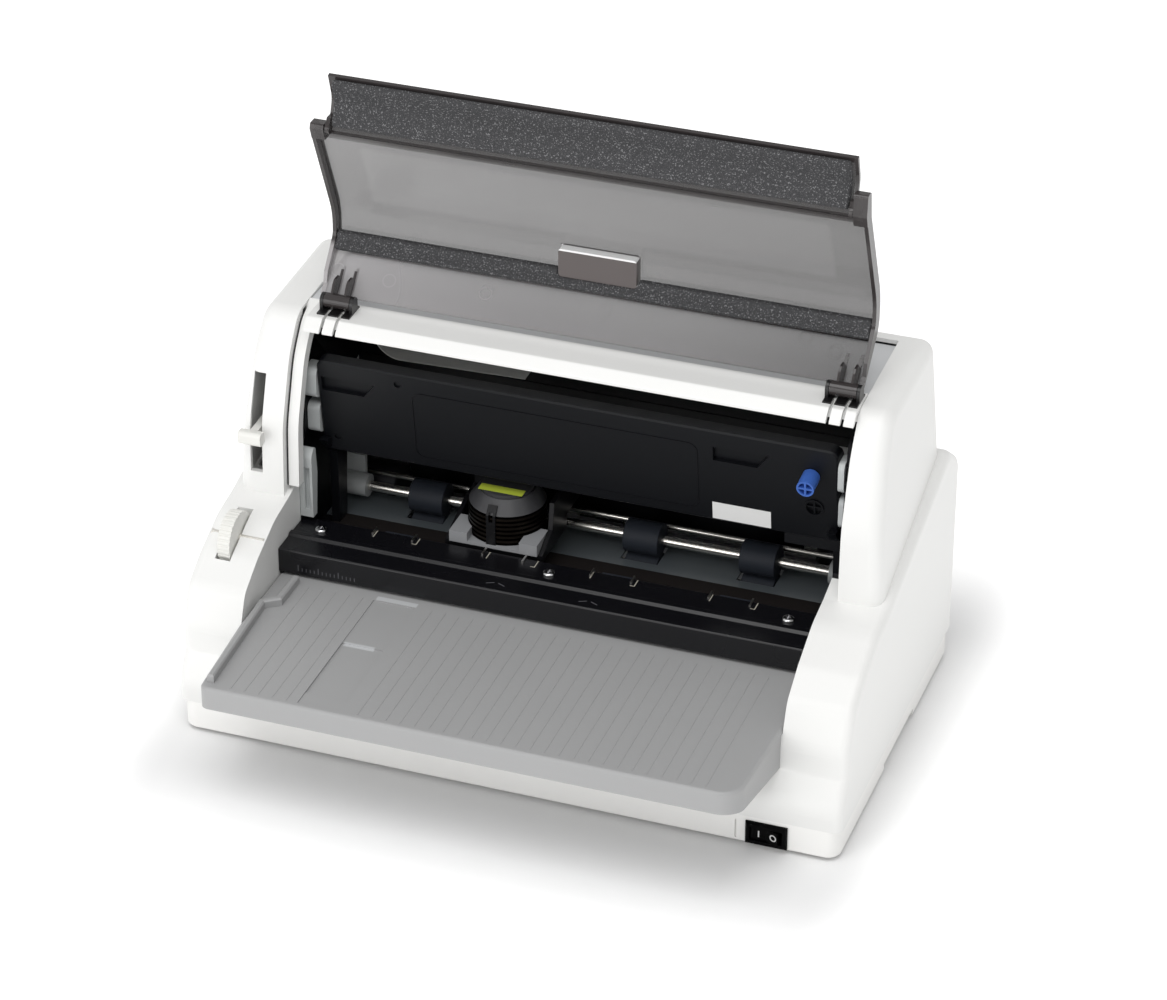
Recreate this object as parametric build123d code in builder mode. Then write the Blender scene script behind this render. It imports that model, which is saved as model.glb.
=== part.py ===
from build123d import *
import math
import os

# Flatbed dot matrix printer, millimetres. +X is the printer's right, +Y its back, +Z up.
# The origin lies on the desk, below the centre of the base. The front cover stands open.
os.makedirs("parts", exist_ok=True)

# ---------------------------------------------------------------- driving dimensions
# casing
BASE_W = 394.0            # base tray, side to side
BASE_D = 228.0            # base tray, front to back
FOOT_LIFT = 2.0           # underside of the base above the desk
SEAM_Z = 20.0             # joint line of base tray and lower casing
WALL = 2.5                # casing walls
LOWER_PROUD = 1.5         # lower casing stands out beyond the base, each side
PLATEAU_SET = 83.0        # where the cheeks end and the upper casing starts, behind the front
PLATEAU_Z = 116.0         # top of the cheeks
SHOULDER_SET = 206.0      # back end of the sloping shoulder, behind the front
SHOULDER_Z = 151.0        # height of the shoulder there
UPPER_TOP_Z = 225.0       # top of the upper casing at the back
UPPER_INSET = 4.5         # upper casing stands inside the lower one, each side
UPPER_TAPER = 7.0         # and leans in by this much at the top, each side
OPEN_LEFT = -165.0        # inner faces of the two side covers
OPEN_RIGHT = 168.4
CHEEK_LEFT = -162.0       # inner faces of the two cheeks beside the table
CHEEK_RIGHT = 160.5
CHEEK_WALL_END = 102.0    # back end of the cheeks' inner walls, behind the front
# paper table
TABLE_Z = 75.0            # top face
TABLE_REACH = 59.0        # how far it stands out in front of the base
TABLE_T = 14.0            # height of its front face
TABLE_PLATE = 3.0         # thickness of its top plate
TABLE_END = 98.5          # back edge, behind the front
# paper path
PAPER_GAP = 1.5           # room for the sheet above the table
PLATEN_SET = 130.0        # print line, behind the front
FEED_SET = 158.0          # rear feed rollers
PINCH_SET = 110.0         # front feed rollers
# covers
HINGE_SET = 121.0         # cover hinge axis
HINGE_Z = 228.5
COVER_LEFT = -156.5
COVER_RIGHT = 166.5
COVER_T = 2.4
# side frames
FRAME_X = 162.1           # inner faces of the side frames, left and right
FRAME_T = 1.5
PAN_Z = 52.5              # underside of the chassis pan
FIT = 0.3                 # gap between parts that only lie beside each other
RUN = 0.05                # radial gap of a shaft in its bore

FRONT = -BASE_D / 2
BACK = BASE_D / 2
BASE_X = BASE_W / 2
LOWER_X = BASE_X + LOWER_PROUD
UPPER_X = LOWER_X - UPPER_INSET
TABLE_LOW = TABLE_Z - TABLE_T
PAPER_Z = TABLE_Z + PAPER_GAP


# ---------------------------------------------------------------- helpers
def bar(x, y, z, mode=Mode.ADD):
    """A box from its (low, high) limits along each axis."""
    with Locations(((x[0] + x[1]) / 2, (y[0] + y[1]) / 2, (z[0] + z[1]) / 2)):
        Box(x[1] - x[0], y[1] - y[0], z[1] - z[0], mode=mode)


def rod(x, y, z, radius, mode=Mode.ADD):
    """A round bar along X from x[0] to x[1]."""
    with Locations(Location(((x[0] + x[1]) / 2, y, z), (0, 90, 0))):
        Cylinder(radius, x[1] - x[0], mode=mode)


def post(x, y, z, radius, mode=Mode.ADD):
    """A round bar along Z from z[0] to z[1]."""
    with Locations((x, y, (z[0] + z[1]) / 2)):
        Cylinder(radius, z[1] - z[0], mode=mode)


def side_face(points, x):
    """A closed outline of straight runs in the side plane at x."""
    with BuildSketch(Plane.YZ.offset(x)) as sketch:
        with BuildLine():
            Polyline(*points, close=True)
        make_face()
    return sketch.sketch


def round_face(corners, plane):
    """A closed outline whose corners are (along, up, radius)."""
    with BuildSketch(plane) as sketch:
        with BuildLine():
            Polyline(*[(u, v) for u, v, radius in corners], close=True)
        make_face()
        for u, v, radius in corners:
            if radius:
                fillet(sketch.vertices().sort_by_distance((u, v))[0], radius)
    return sketch.sketch


def round_slab(corners, x, mode=Mode.ADD):
    """A rounded side outline stretched along X from x[0] to x[1]."""
    extrude(round_face(corners, Plane.YZ.offset(x[0])), amount=x[1] - x[0], mode=mode)


def slab(points, x, mode=Mode.ADD):
    """A side outline stretched along X from x[0] to x[1]."""
    extrude(side_face(points, x[0]), amount=x[1] - x[0], mode=mode)


def sheet_corners(corners, near, far):
    """Corners of a sheet that follows an open run, between two distances to its right."""
    normals = []
    for (u0, v0, r0), (u1, v1, r1) in zip(corners, corners[1:]):
        length = math.hypot(u1 - u0, v1 - v0)
        normals.append(((v1 - v0) / length, (u0 - u1) / length))
    befores = normals[:1] + normals
    afters = normals + normals[-1:]

    def moved(distance):
        run = []
        for (u, v, radius), before, after in zip(corners, befores, afters):
            share = distance / (1 + before[0] * after[0] + before[1] * after[1])
            new_u = u + (before[0] + after[0]) * share
            new_v = v + (before[1] + after[1]) * share
            run.append((new_u, new_v, radius + distance if radius else 0))
        return run

    return moved(near) + moved(far)[::-1]


def gear_face(teeth, module, bore, plane):
    """A spur gear outline with straight-sided teeth and a little backlash."""
    root = module * (teeth / 2 - 1.2)
    tip = module * (teeth / 2 + 0.9)
    pitch_angle = 360 / teeth
    with BuildSketch(plane) as sketch:
        Circle(root)
        with BuildLine() as tooth:
            low = math.radians(pitch_angle * 0.27)
            high = math.radians(pitch_angle * 0.11)
            foot = root - 0.3 * module
            Polyline(
                (foot * math.cos(low), -foot * math.sin(low)),
                (tip * math.cos(high), -tip * math.sin(high)),
                (tip * math.cos(high), tip * math.sin(high)),
                (foot * math.cos(low), foot * math.sin(low)),
                close=True,
            )
        one = make_face(mode=Mode.PRIVATE)
        with PolarLocations(0, teeth):
            add(one)
        Circle(bore, mode=Mode.SUBTRACT)
    return sketch.sketch


def cover_corners(shift, foot_z):
    """The side covers' front edge, from its foot to the top, moved in by shift."""
    start = FRONT + PLATEAU_SET + shift
    return [
        (start, foot_z, 0),
        (start + 2, PLATEAU_Z + 44, 60),
        (start + 15 - 0.1 * shift, PLATEAU_Z + 84 - 0.2 * shift, 50),
        (start + 30 - 0.4 * shift, UPPER_TOP_Z - 3.5 - shift, 16),
    ]


# ================================================================ base
FLOOR_Z = FOOT_LIFT + WALL
NOTCH = (92.0, 152.0)     # hand recess under the right side, behind the front
NOTCH_H = 5.0
NOTCH_DEEP = 6.0
POST_R = 6.0              # posts that carry the chassis pan
POST_X = 150.0
POST_SETS = (40.0, 200.0)
SWITCH_X = BASE_X - 41.0   # power switch, in the front face of the base
SWITCH_Z = 10.4
SWITCH_HOLE = (21.0, 11.0)
BEZEL = (24.2, 14.6)
FOOT_R = 8.0
FOOT_POCKET = 1.2
FOOT_IN = 24.0            # feet from the sides of the base
SLIT_X = BASE_X - 59.0     # narrow slit beside the switch

with BuildPart() as base_tray:
    with BuildSketch(Plane.XY.offset(FOOT_LIFT)):
        RectangleRounded(BASE_W, BASE_D, 8)
    extrude(amount=SEAM_Z - FOOT_LIFT)
    chamfer(base_tray.faces().sort_by(Axis.Z)[0].edges(), 1.2)
    with BuildSketch(Plane.XY.offset(FLOOR_Z)):
        RectangleRounded(BASE_W - 2 * WALL, BASE_D - 2 * WALL, 8 - WALL)
    extrude(amount=SEAM_Z, mode=Mode.SUBTRACT)
    notch_y = (FRONT + NOTCH[0], FRONT + NOTCH[1])
    bar(
        (BASE_X - NOTCH_DEEP - WALL, BASE_X - WALL / 2),
        (notch_y[0] - WALL, notch_y[1] + WALL),
        (FLOOR_Z - 1, FOOT_LIFT + NOTCH_H + WALL),
    )
    bar((BASE_X - NOTCH_DEEP, BASE_X + 1), notch_y, (0, FOOT_LIFT + NOTCH_H), Mode.SUBTRACT)
    for set_back in POST_SETS:
        for side in (-1, 1):
            post(side * POST_X, FRONT + set_back, (FLOOR_Z - 1, PAN_Z), POST_R)
    with Locations((SWITCH_X, FRONT, SWITCH_Z)):
        Box(SWITCH_HOLE[0], 4 * WALL, SWITCH_HOLE[1], mode=Mode.SUBTRACT)
    with Locations((SLIT_X, FRONT, SWITCH_Z)):
        Box(1.0, 2.0, 12.0, mode=Mode.SUBTRACT)
    for side in (-1, 1):
        for end in (-1, 1):
            post(
                side * (BASE_X - FOOT_IN),
                end * (BASE_D / 2 - FOOT_IN),
                (FOOT_LIFT - 1, FOOT_LIFT + FOOT_POCKET),
                FOOT_R + FIT,
                Mode.SUBTRACT,
            )

with BuildPart() as rubber_feet:
    with GridLocations(BASE_W - 2 * FOOT_IN, BASE_D - 2 * FOOT_IN, 2, 2):
        with Locations((0, 0, (FOOT_LIFT + FOOT_POCKET) / 2)):
            Cylinder(FOOT_R, FOOT_LIFT + FOOT_POCKET)

# ================================================================ lower casing
BUMPER_TOP = 50.0         # where the front steps back under the table
CHEEK_FACE = 8.0          # cheeks' front face above the bumper, behind the front
BACK_KNEE = 118.0         # height where the back turns into the shoulder

with BuildPart() as lower_casing:
    cheek_y = FRONT + CHEEK_FACE
    lower_corners = [
        (BACK, SEAM_Z, 0),
        (FRONT, SEAM_Z, 0),
        (FRONT - 1, SEAM_Z + 14, 20),
        (cheek_y, BUMPER_TOP, 3),
        (cheek_y, TABLE_Z - 8, 20),
        (cheek_y + 9, TABLE_Z + 14, 14),
        (cheek_y + 28, PLATEAU_Z - 15, 30),
        (cheek_y + 54, PLATEAU_Z - 3.5, 40),
        (FRONT + PLATEAU_SET, PLATEAU_Z, 0),
        (FRONT + SHOULDER_SET, SHOULDER_Z, 8),
        (BACK, BACK_KNEE + 17, 14),
    ]
    round_slab(lower_corners, (-LOWER_X, LOWER_X))
    crown = lower_casing.edges().filter_by(
        lambda e: abs(abs(e.center().X) - LOWER_X) < 0.01 and e.center().Z > BUMPER_TOP
    )
    fillet(crown, 5)
    # the hollow, open below, and open above inside the upper casing
    hollow_x = LOWER_X - WALL
    hollow_y = (FRONT + CHEEK_FACE + WALL, BACK - WALL)
    low_hollow = (SEAM_Z - 1, TABLE_LOW)
    bar((-hollow_x, hollow_x), hollow_y, low_hollow, Mode.SUBTRACT)
    roof = (PLATEAU_Z - SHOULDER_Z) / (PLATEAU_SET - SHOULDER_SET)
    back_y = FRONT + SHOULDER_SET - WALL
    front_y = FRONT + CHEEK_FACE + 24
    cheek_hollow = [
        (hollow_y[0], low_hollow[1] - 1),
        (hollow_y[1], low_hollow[1] - 1),
        (hollow_y[1], BACK_KNEE - WALL),
        (back_y + WALL, SHOULDER_Z - 3 * WALL),
        (FRONT + PLATEAU_SET, PLATEAU_Z - WALL),
        (front_y + 18, PLATEAU_Z - 8 - 2 * WALL),
        (front_y, TABLE_Z + 14),
        (hollow_y[0] + 2, TABLE_Z - 8),
    ]
    slab(cheek_hollow, (-hollow_x, CHEEK_LEFT - WALL), Mode.SUBTRACT)
    slab(cheek_hollow, (CHEEK_RIGHT + WALL, hollow_x), Mode.SUBTRACT)
    # the middle, between the cheeks, from the table plate upwards; the back keeps its roof
    roof_start = FRONT + SHOULDER_SET - 2 * WALL
    middle_hollow = [
        (FRONT - 5, TABLE_Z - TABLE_PLATE),
        (BACK - WALL, TABLE_Z - TABLE_PLATE),
        (BACK - WALL, BACK_KNEE - WALL),
        (FRONT + SHOULDER_SET, SHOULDER_Z - 3 * WALL),
        (roof_start, SHOULDER_Z - 3 * WALL),
        (roof_start, SHOULDER_Z + 10),
        (FRONT - 5, SHOULDER_Z + 10),
    ]
    slab(middle_hollow, (CHEEK_LEFT, CHEEK_RIGHT), Mode.SUBTRACT)
    bar(
        (CHEEK_LEFT, CHEEK_RIGHT),
        (hollow_y[0], hollow_y[1]),
        (low_hollow[1] - 1, TABLE_Z),
        Mode.SUBTRACT,
    )
    # behind the cheeks the hollow takes the full width
    wide = [
        (FRONT + CHEEK_WALL_END, low_hollow[1] - 1),
        (hollow_y[1], low_hollow[1] - 1),
        (hollow_y[1], BACK_KNEE - WALL),
        (back_y + WALL, SHOULDER_Z - 3 * WALL),
        (FRONT + CHEEK_WALL_END, PLATEAU_Z + roof * (CHEEK_WALL_END - PLATEAU_SET) - 3),
    ]
    slab(wide, (-hollow_x, hollow_x), Mode.SUBTRACT)
    # the mouth under the upper casing
    mouth_x = UPPER_X - 2 * WALL
    bar(
        (-mouth_x, mouth_x),
        (FRONT + CHEEK_WALL_END, roof_start),
        (PLATEAU_Z - 10, SHOULDER_Z + 10),
        Mode.SUBTRACT,
    )

# ================================================================ upper casing
TOP_WELL_END = 191.0      # back end of the well behind the hinge bar, behind the front
TOP_EDGE_R = 7.0
TOP_SIDE_R = 8.0


def upper_solid(shift, foot_drop):
    """The upper casing's block, shrunk by shift, its foot lowered by foot_drop."""
    top = UPPER_TOP_Z - shift
    back = FRONT + SHOULDER_SET - shift
    corners = cover_corners(shift, PLATEAU_Z - foot_drop) + [
        (back - 4, top, TOP_EDGE_R),
        (back, SHOULDER_Z - foot_drop, 0),
    ]
    with BuildPart() as block:
        round_slab(corners, (-LOWER_X, LOWER_X))
        low = PLATEAU_Z - foot_drop
        flare = UPPER_TAPER * (PLATEAU_Z - low) / (UPPER_TOP_Z - PLATEAU_Z)
        low_x = UPPER_X + flare - shift
        high_x = UPPER_X - UPPER_TAPER - shift
        with BuildSketch(Plane.XZ.offset(-BACK)):
            with BuildLine():
                Polyline((-low_x, low), (-high_x, UPPER_TOP_Z), (high_x, UPPER_TOP_Z), (low_x, low), close=True)
            make_face()
        extrude(amount=BASE_D + 10, mode=Mode.INTERSECT)
    return block.part


upper_core = upper_solid(WALL, 60)
with BuildPart() as upper_casing:
    add(upper_solid(0, 0))
    seat = upper_casing.faces().sort_by(Axis.Z)[0]
    flanks = upper_casing.edges().filter_by(lambda e: abs(e.center().X) > UPPER_X - UPPER_TAPER - 2)
    crown = flanks - seat.edges()
    fillet(crown, TOP_SIDE_R)
    core_d = 2 * BASE_D
    core_h = 4 * UPPER_TOP_Z
    left_core = Pos(OPEN_LEFT - WALL - LOWER_X, 0, 0) * Box(2 * LOWER_X, core_d, core_h, mode=Mode.PRIVATE)
    add(upper_core & left_core, mode=Mode.SUBTRACT)
    right_core = Pos(OPEN_RIGHT + WALL + LOWER_X, 0, 0) * Box(2 * LOWER_X, core_d, core_h, mode=Mode.PRIVATE)
    add(upper_core & right_core, mode=Mode.SUBTRACT)
    mid_width = OPEN_RIGHT - OPEN_LEFT
    mid_core = Pos((OPEN_RIGHT + OPEN_LEFT) / 2, 0, 0) * Box(mid_width, core_d, core_h, mode=Mode.PRIVATE)
    add(upper_core & mid_core, mode=Mode.SUBTRACT)
    bar((OPEN_LEFT, OPEN_RIGHT), (FRONT, FRONT + TOP_WELL_END), (0, 300), Mode.SUBTRACT)

# ================================================================ hinge bar
BAR_LEFT = -157.5         # left end; the strip beside it fills the rest
BAR_SETS = (102.7, 131.0)  # front and back of the bar, behind the front
BAR_TOP = 223.0
BAR_T = 2.5
STRIP_IN = 5.0            # left strip lies this far inside the side cover's edge
STRIP_DEEP = 7.0
HINGE_XS = (-143.0, 157.3)  # middles of the two cover hinges
BARREL_HALF = 7.8
EAR_T = 1.9
FIN_OFFSETS = (-4.1, 4.1)   # cover fins, from the hinge's middle
FIN_T = 1.3
FIN_SLOT = FIN_T + 2 * FIT
bar_right = OPEN_RIGHT - FIT
bar_front = FRONT + BAR_SETS[0]
bar_back = FRONT + BAR_SETS[1]

with BuildPart() as hinge_bar:
    bar_corners = [
        (bar_front, BAR_TOP - 7, 0),
        (bar_front, BAR_TOP - 5.4, 1),
        (bar_front + 6, BAR_TOP, 2),
        (bar_back, BAR_TOP, 1),
        (bar_back, BAR_TOP - 18, 0),
        (bar_back - BAR_T, BAR_TOP - 18, 0),
        (bar_back - BAR_T, BAR_TOP - BAR_T, 0),
        (bar_front + 7, BAR_TOP - BAR_T, 0),
        (bar_front + 2.2, BAR_TOP - 7, 0),
    ]
    round_slab(bar_corners, (BAR_LEFT, bar_right))
    outer = cover_corners(STRIP_IN, PLATEAU_Z + 5)
    inner = cover_corners(STRIP_IN + STRIP_DEEP, PLATEAU_Z + 5)
    strip = outer + [(bar_back, BAR_TOP, 1), (bar_back, BAR_TOP - 10, 0)] + inner[::-1]
    round_slab(strip, (OPEN_LEFT + FIT, BAR_LEFT + 0.01))
    for middle in HINGE_XS:
        for offset in FIN_OFFSETS:
            bar(
                (middle + offset - FIN_SLOT / 2, middle + offset + FIN_SLOT / 2),
                (bar_front - 1, bar_front + 16.5),
                (BAR_TOP - 8, BAR_TOP + 1),
                Mode.SUBTRACT,
            )

# grey panel in the well behind the bar
INSET_Z = 221.0
INSET_T = 2.5
with BuildPart() as top_inset_panel:
    inset_x = (OPEN_LEFT + FIT, OPEN_RIGHT - FIT)
    inset_y = (bar_back + FIT, FRONT + TOP_WELL_END - FIT)
    bar(inset_x, inset_y, (INSET_Z - INSET_T, INSET_Z))
    for skirt_x in ((inset_x[0], inset_x[0] + INSET_T), (inset_x[1] - INSET_T, inset_x[1])):
        bar(skirt_x, inset_y, (INSET_Z - 9, INSET_Z - 1))

# ================================================================ paper table
TABLE_FRONT = FRONT - TABLE_REACH
TABLE_NARROW = 4.5        # the front is this much narrower, each side
SKIRT_T = 2.5
SKIRT_DROP = 10.0         # skirt is this much lower at the casing than at the front
RIB_H = 0.2
RIB_W = 0.9
RIB_PITCH = 8.4
RIB_RUN = (4.0, 115.5)    # ribs from and to, behind the table's front
RIB_ZONE = (-64.0, 145.0)
STRIP_ZONE = (-99.5, -74.0)  # sunk strip in the table
STRIP_SINK = 1.2
STRIP_STEPS = (15.5, 69.0)   # its two ledges, behind the table's front
LEFT_ZONE = (-140.0, -106.0)
table_left = CHEEK_LEFT + FIT
table_right = CHEEK_RIGHT - FIT
table_back = FRONT + TABLE_END
skirt_back = FRONT + CHEEK_FACE - FIT

with BuildPart() as paper_table:
    table_corners = [
        (table_left + TABLE_NARROW, TABLE_FRONT, 5),
        (table_right - TABLE_NARROW + 1, TABLE_FRONT, 13),
        (table_right, skirt_back, 0),
        (table_right, table_back, 0),
        (table_left, table_back, 0),
        (table_left, skirt_back, 0),
    ]
    extrude(round_face(table_corners, Plane.XY.offset(TABLE_LOW - SKIRT_DROP)), amount=TABLE_T + SKIRT_DROP)
    slab(
        [
            (TABLE_FRONT - 1, TABLE_LOW),
            (TABLE_FRONT + 1, TABLE_LOW),
            (skirt_back, TABLE_LOW - SKIRT_DROP),
            (skirt_back, TABLE_LOW - SKIRT_DROP - 1),
            (TABLE_FRONT - 1, TABLE_LOW - SKIRT_DROP - 1),
        ],
        (table_left - 1, table_right + 1),
        Mode.SUBTRACT,
    )
    bar(
        (table_left - 1, table_right + 1),
        (skirt_back, table_back + 1),
        (TABLE_LOW - SKIRT_DROP - 1, TABLE_Z - TABLE_PLATE),
        Mode.SUBTRACT,
    )
    rim = paper_table.edges().filter_by(
        lambda e: abs(e.center().Z - TABLE_Z) < 0.01 and e.center().Y < skirt_back
    )
    fillet(rim, 2.0)
    inner_corners = [
        (table_left + TABLE_NARROW + SKIRT_T, TABLE_FRONT + SKIRT_T, 3),
        (table_right - TABLE_NARROW + 1 - SKIRT_T, TABLE_FRONT + SKIRT_T, 11),
        (table_right - SKIRT_T, skirt_back - SKIRT_T, 0),
        (table_left + SKIRT_T, skirt_back - SKIRT_T, 0),
    ]
    hollow = round_face(inner_corners, Plane.XY.offset(TABLE_Z - TABLE_PLATE))
    extrude(hollow, amount=-TABLE_T - SKIRT_DROP, mode=Mode.SUBTRACT)
    rib_y = (TABLE_FRONT + RIB_RUN[0], TABLE_FRONT + RIB_RUN[1])
    rib_count = int((RIB_ZONE[1] - RIB_ZONE[0]) / RIB_PITCH) + 1
    left_count = int((LEFT_ZONE[1] - LEFT_ZONE[0]) / RIB_PITCH) + 1
    for zone, count in ((RIB_ZONE, rib_count), (LEFT_ZONE, left_count)):
        for index in range(count):
            rib_x = zone[0] + index * RIB_PITCH
            bar((rib_x - RIB_W / 2, rib_x + RIB_W / 2), rib_y, (TABLE_Z - 0.2, TABLE_Z + RIB_H))
    step_y = [TABLE_FRONT + step for step in STRIP_STEPS]
    bar(STRIP_ZONE, (rib_y[0], step_y[0]), (TABLE_Z - STRIP_SINK / 2, TABLE_Z + 1), Mode.SUBTRACT)
    bar(STRIP_ZONE, (step_y[0], step_y[1]), (TABLE_Z - STRIP_SINK, TABLE_Z + 1), Mode.SUBTRACT)
    bar(STRIP_ZONE, (step_y[1], rib_y[1]), (TABLE_Z - STRIP_SINK / 2, TABLE_Z + 1), Mode.SUBTRACT)

# left paper fence on the table
FENCE_H = 5.0
FENCE_T = 4.0
FENCE_X = -156.5
FENCE_STEP = 8.0          # the back stretch stands further in
with BuildPart() as edge_guide:
    fence_y = (TABLE_FRONT + 6, TABLE_FRONT + 88)
    with BuildSketch(Plane.XY.offset(TABLE_Z)):
        with BuildLine():
            Polyline(
                (FENCE_X - FENCE_T / 2 + 4, fence_y[0]),
                (FENCE_X + FENCE_T / 2 + 4, fence_y[0]),
                (FENCE_X + FENCE_T / 2, fence_y[1] - 2),
                (FENCE_X + FENCE_STEP + FENCE_T / 2, fence_y[1] + 4),
                (FENCE_X + FENCE_STEP + FENCE_T / 2, fence_y[1] + 30),
                (FENCE_X + FENCE_STEP - FENCE_T / 2, fence_y[1] + 30),
                (FENCE_X + FENCE_STEP - FENCE_T / 2, fence_y[1] + 6),
                (FENCE_X - FENCE_T / 2, fence_y[1]),
                close=True,
            )
        make_face()
    extrude(amount=FENCE_H)
    chamfer(edge_guide.faces().sort_by(Axis.Z)[-1].edges(), 0.8)

# ================================================================ front guide rail
RAIL_SET = 64.6           # front face, behind the front
RAIL_BACK = 103.0
RAIL_Z = 92.0             # top face
RAIL_T = 2.0
RAIL_RIDGE = 1.6
RAIL_RIDGE_SET = 79.0
RAIL_LIFT = 2.0           # slot for the sheet below its front lip
SCREW_SET = 91.0
SCREW_XS = (-146.0, -5.0, 138.0)
SCREW_R = 1.5
HEAD_R = 3.6
rail_front = FRONT + RAIL_SET
rail_back = FRONT + RAIL_BACK
rail_ridge = FRONT + RAIL_RIDGE_SET
rail_x = (CHEEK_LEFT + FIT, CHEEK_RIGHT - FIT)

with BuildPart() as front_guide_rail:
    rail_corners = [
        (rail_front, TABLE_Z + RAIL_LIFT, 0),
        (rail_front, RAIL_Z, 1.2),
        (rail_ridge, RAIL_Z, 1),
        (rail_ridge + 1.6, RAIL_Z + RAIL_RIDGE, 1),
        (rail_ridge + 5.0, RAIL_Z + RAIL_RIDGE, 1),
        (rail_ridge + 6.6, RAIL_Z, 1),
        (rail_back, RAIL_Z, 1.2),
        (rail_back, RAIL_Z - 8, 0),
        (rail_back - RAIL_T, RAIL_Z - 8, 0),
        (rail_back - RAIL_T, RAIL_Z - RAIL_T, 0),
        (rail_front + RAIL_T, RAIL_Z - RAIL_T, 0),
        (rail_front + RAIL_T, TABLE_Z + RAIL_LIFT, 0),
    ]
    round_slab(rail_corners, rail_x)
    for end_x in ((rail_x[0], rail_x[0] + RAIL_T), (rail_x[1] - RAIL_T, rail_x[1])):
        bar(end_x, (rail_front + 1, FRONT + TABLE_END - 1), (TABLE_Z, RAIL_Z - 1))
    for screw_x in SCREW_XS:
        post(screw_x, FRONT + SCREW_SET, (RAIL_Z - 5, RAIL_Z + 1), SCREW_R + RUN, Mode.SUBTRACT)

with BuildPart() as rail_screws:
    for screw_x in SCREW_XS:
        post(screw_x, FRONT + SCREW_SET, (RAIL_Z - 6, RAIL_Z + 0.2), SCREW_R)
        with BuildSketch(Plane.XY.offset(RAIL_Z)):
            with Locations((screw_x, FRONT + SCREW_SET)):
                Circle(HEAD_R)
        extrude(amount=2.0)
    domes = rail_screws.edges().filter_by(GeomType.CIRCLE).filter_by(
        lambda e: e.center().Z > RAIL_Z + 1.9
    )
    fillet(domes, 1.3)
    for screw_x in SCREW_XS:
        with Locations((screw_x, FRONT + SCREW_SET, RAIL_Z + 1.6)):
            Box(3.6, 0.8, 1.6, mode=Mode.SUBTRACT)
            Box(0.8, 3.6, 1.6, mode=Mode.SUBTRACT)

# ================================================================ paper feed rollers
SHAFT_R = 3.0
ROLLER_R = 10.0
ROLLER_HALF = 10.8
LOWER_HALF = 10.0
NIP = 0.3
ROLLER_XS = (-104.0, -36.0, 30.0, 101.0)
PINCH_R = 5.5
PINCH_AXLE_R = 1.6
PINCH_AXLE_HALF = 13.5
lower_axis_z = TABLE_Z + 0.2 - ROLLER_R
upper_axis_z = lower_axis_z + 2 * ROLLER_R + NIP
pinch_axis_z = lower_axis_z + ROLLER_R + NIP + PINCH_R
feed_y = FRONT + FEED_SET
pinch_y = FRONT + PINCH_SET
frame_out = FRAME_X + FRAME_T
GEAR_W = 7.0
gear_x = -frame_out - 1.5 - GEAR_W   # gears run outside the left frame, in two planes
big_x = gear_x - 2.0 - GEAR_W
shaft_right = frame_out + 2.0


def shaft_body(y, z, x):
    """A plain steel shaft along X."""
    with BuildPart() as shaft:
        rod(x, y, z, SHAFT_R)
        chamfer(shaft.edges().filter_by(GeomType.CIRCLE), 0.4)
    return shaft


def roller_set(y, z, radius, half):
    """Rubber rollers on a shaft, one at each of the roller places."""
    with BuildPart() as rollers:
        for x in ROLLER_XS:
            rod((x - half, x + half), y, z, radius)
        fillet(rollers.edges().filter_by(GeomType.CIRCLE), 0.6)
        for x in ROLLER_XS:
            rod((x - half - 1, x + half + 1), y, z, SHAFT_R, Mode.SUBTRACT)
    return rollers


rear_upper_shaft = shaft_body(feed_y, upper_axis_z, (gear_x - 1, shaft_right))
rear_upper_rollers = roller_set(feed_y, upper_axis_z, ROLLER_R, ROLLER_HALF)
rear_lower_shaft = shaft_body(feed_y, lower_axis_z, (big_x - 1, shaft_right))
rear_lower_rollers = roller_set(feed_y, lower_axis_z, ROLLER_R, LOWER_HALF)
front_lower_shaft = shaft_body(pinch_y, lower_axis_z, (gear_x - 1, shaft_right))
front_lower_rollers = roller_set(pinch_y, lower_axis_z, ROLLER_R, LOWER_HALF)

with BuildPart() as pinch_rollers:
    for x in ROLLER_XS:
        rod((x - LOWER_HALF, x + LOWER_HALF), pinch_y, pinch_axis_z, PINCH_R)
    fillet(pinch_rollers.edges().filter_by(GeomType.CIRCLE), 0.5)
    for x in ROLLER_XS:
        rod((x - PINCH_AXLE_HALF, x + PINCH_AXLE_HALF), pinch_y, pinch_axis_z, PINCH_AXLE_R)

# spring wire clips that hold the pinch roller axles down
WIRE = 1.1
with BuildPart() as roller_clips:
    clip_y = rail_back + FIT
    axle_top = pinch_axis_z + PINCH_AXLE_R + RUN
    for x in ROLLER_XS:
        for side in (-1, 1):
            clip_x = x + side * (PINCH_AXLE_HALF - 1.2)
            wire_x = (clip_x - WIRE / 2, clip_x + WIRE / 2)
            bar(wire_x, (clip_y - 6, clip_y + WIRE), (RAIL_Z, RAIL_Z + WIRE))
            bar(wire_x, (clip_y, clip_y + WIRE), (axle_top, RAIL_Z + 0.5))
            bar(wire_x, (clip_y, pinch_y + 1.5), (axle_top, axle_top + WIRE))

# guide plates and platen between the rollers
PLATE_T = 1.5
PLATE_X = FRAME_X - FIT
PLATEN_HALF = 5.0
platen_y = FRONT + PLATEN_SET
PLATE_END = 180.0
window_x = LOWER_HALF + 1.5
window_y = ROLLER_R + 1.0


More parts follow.
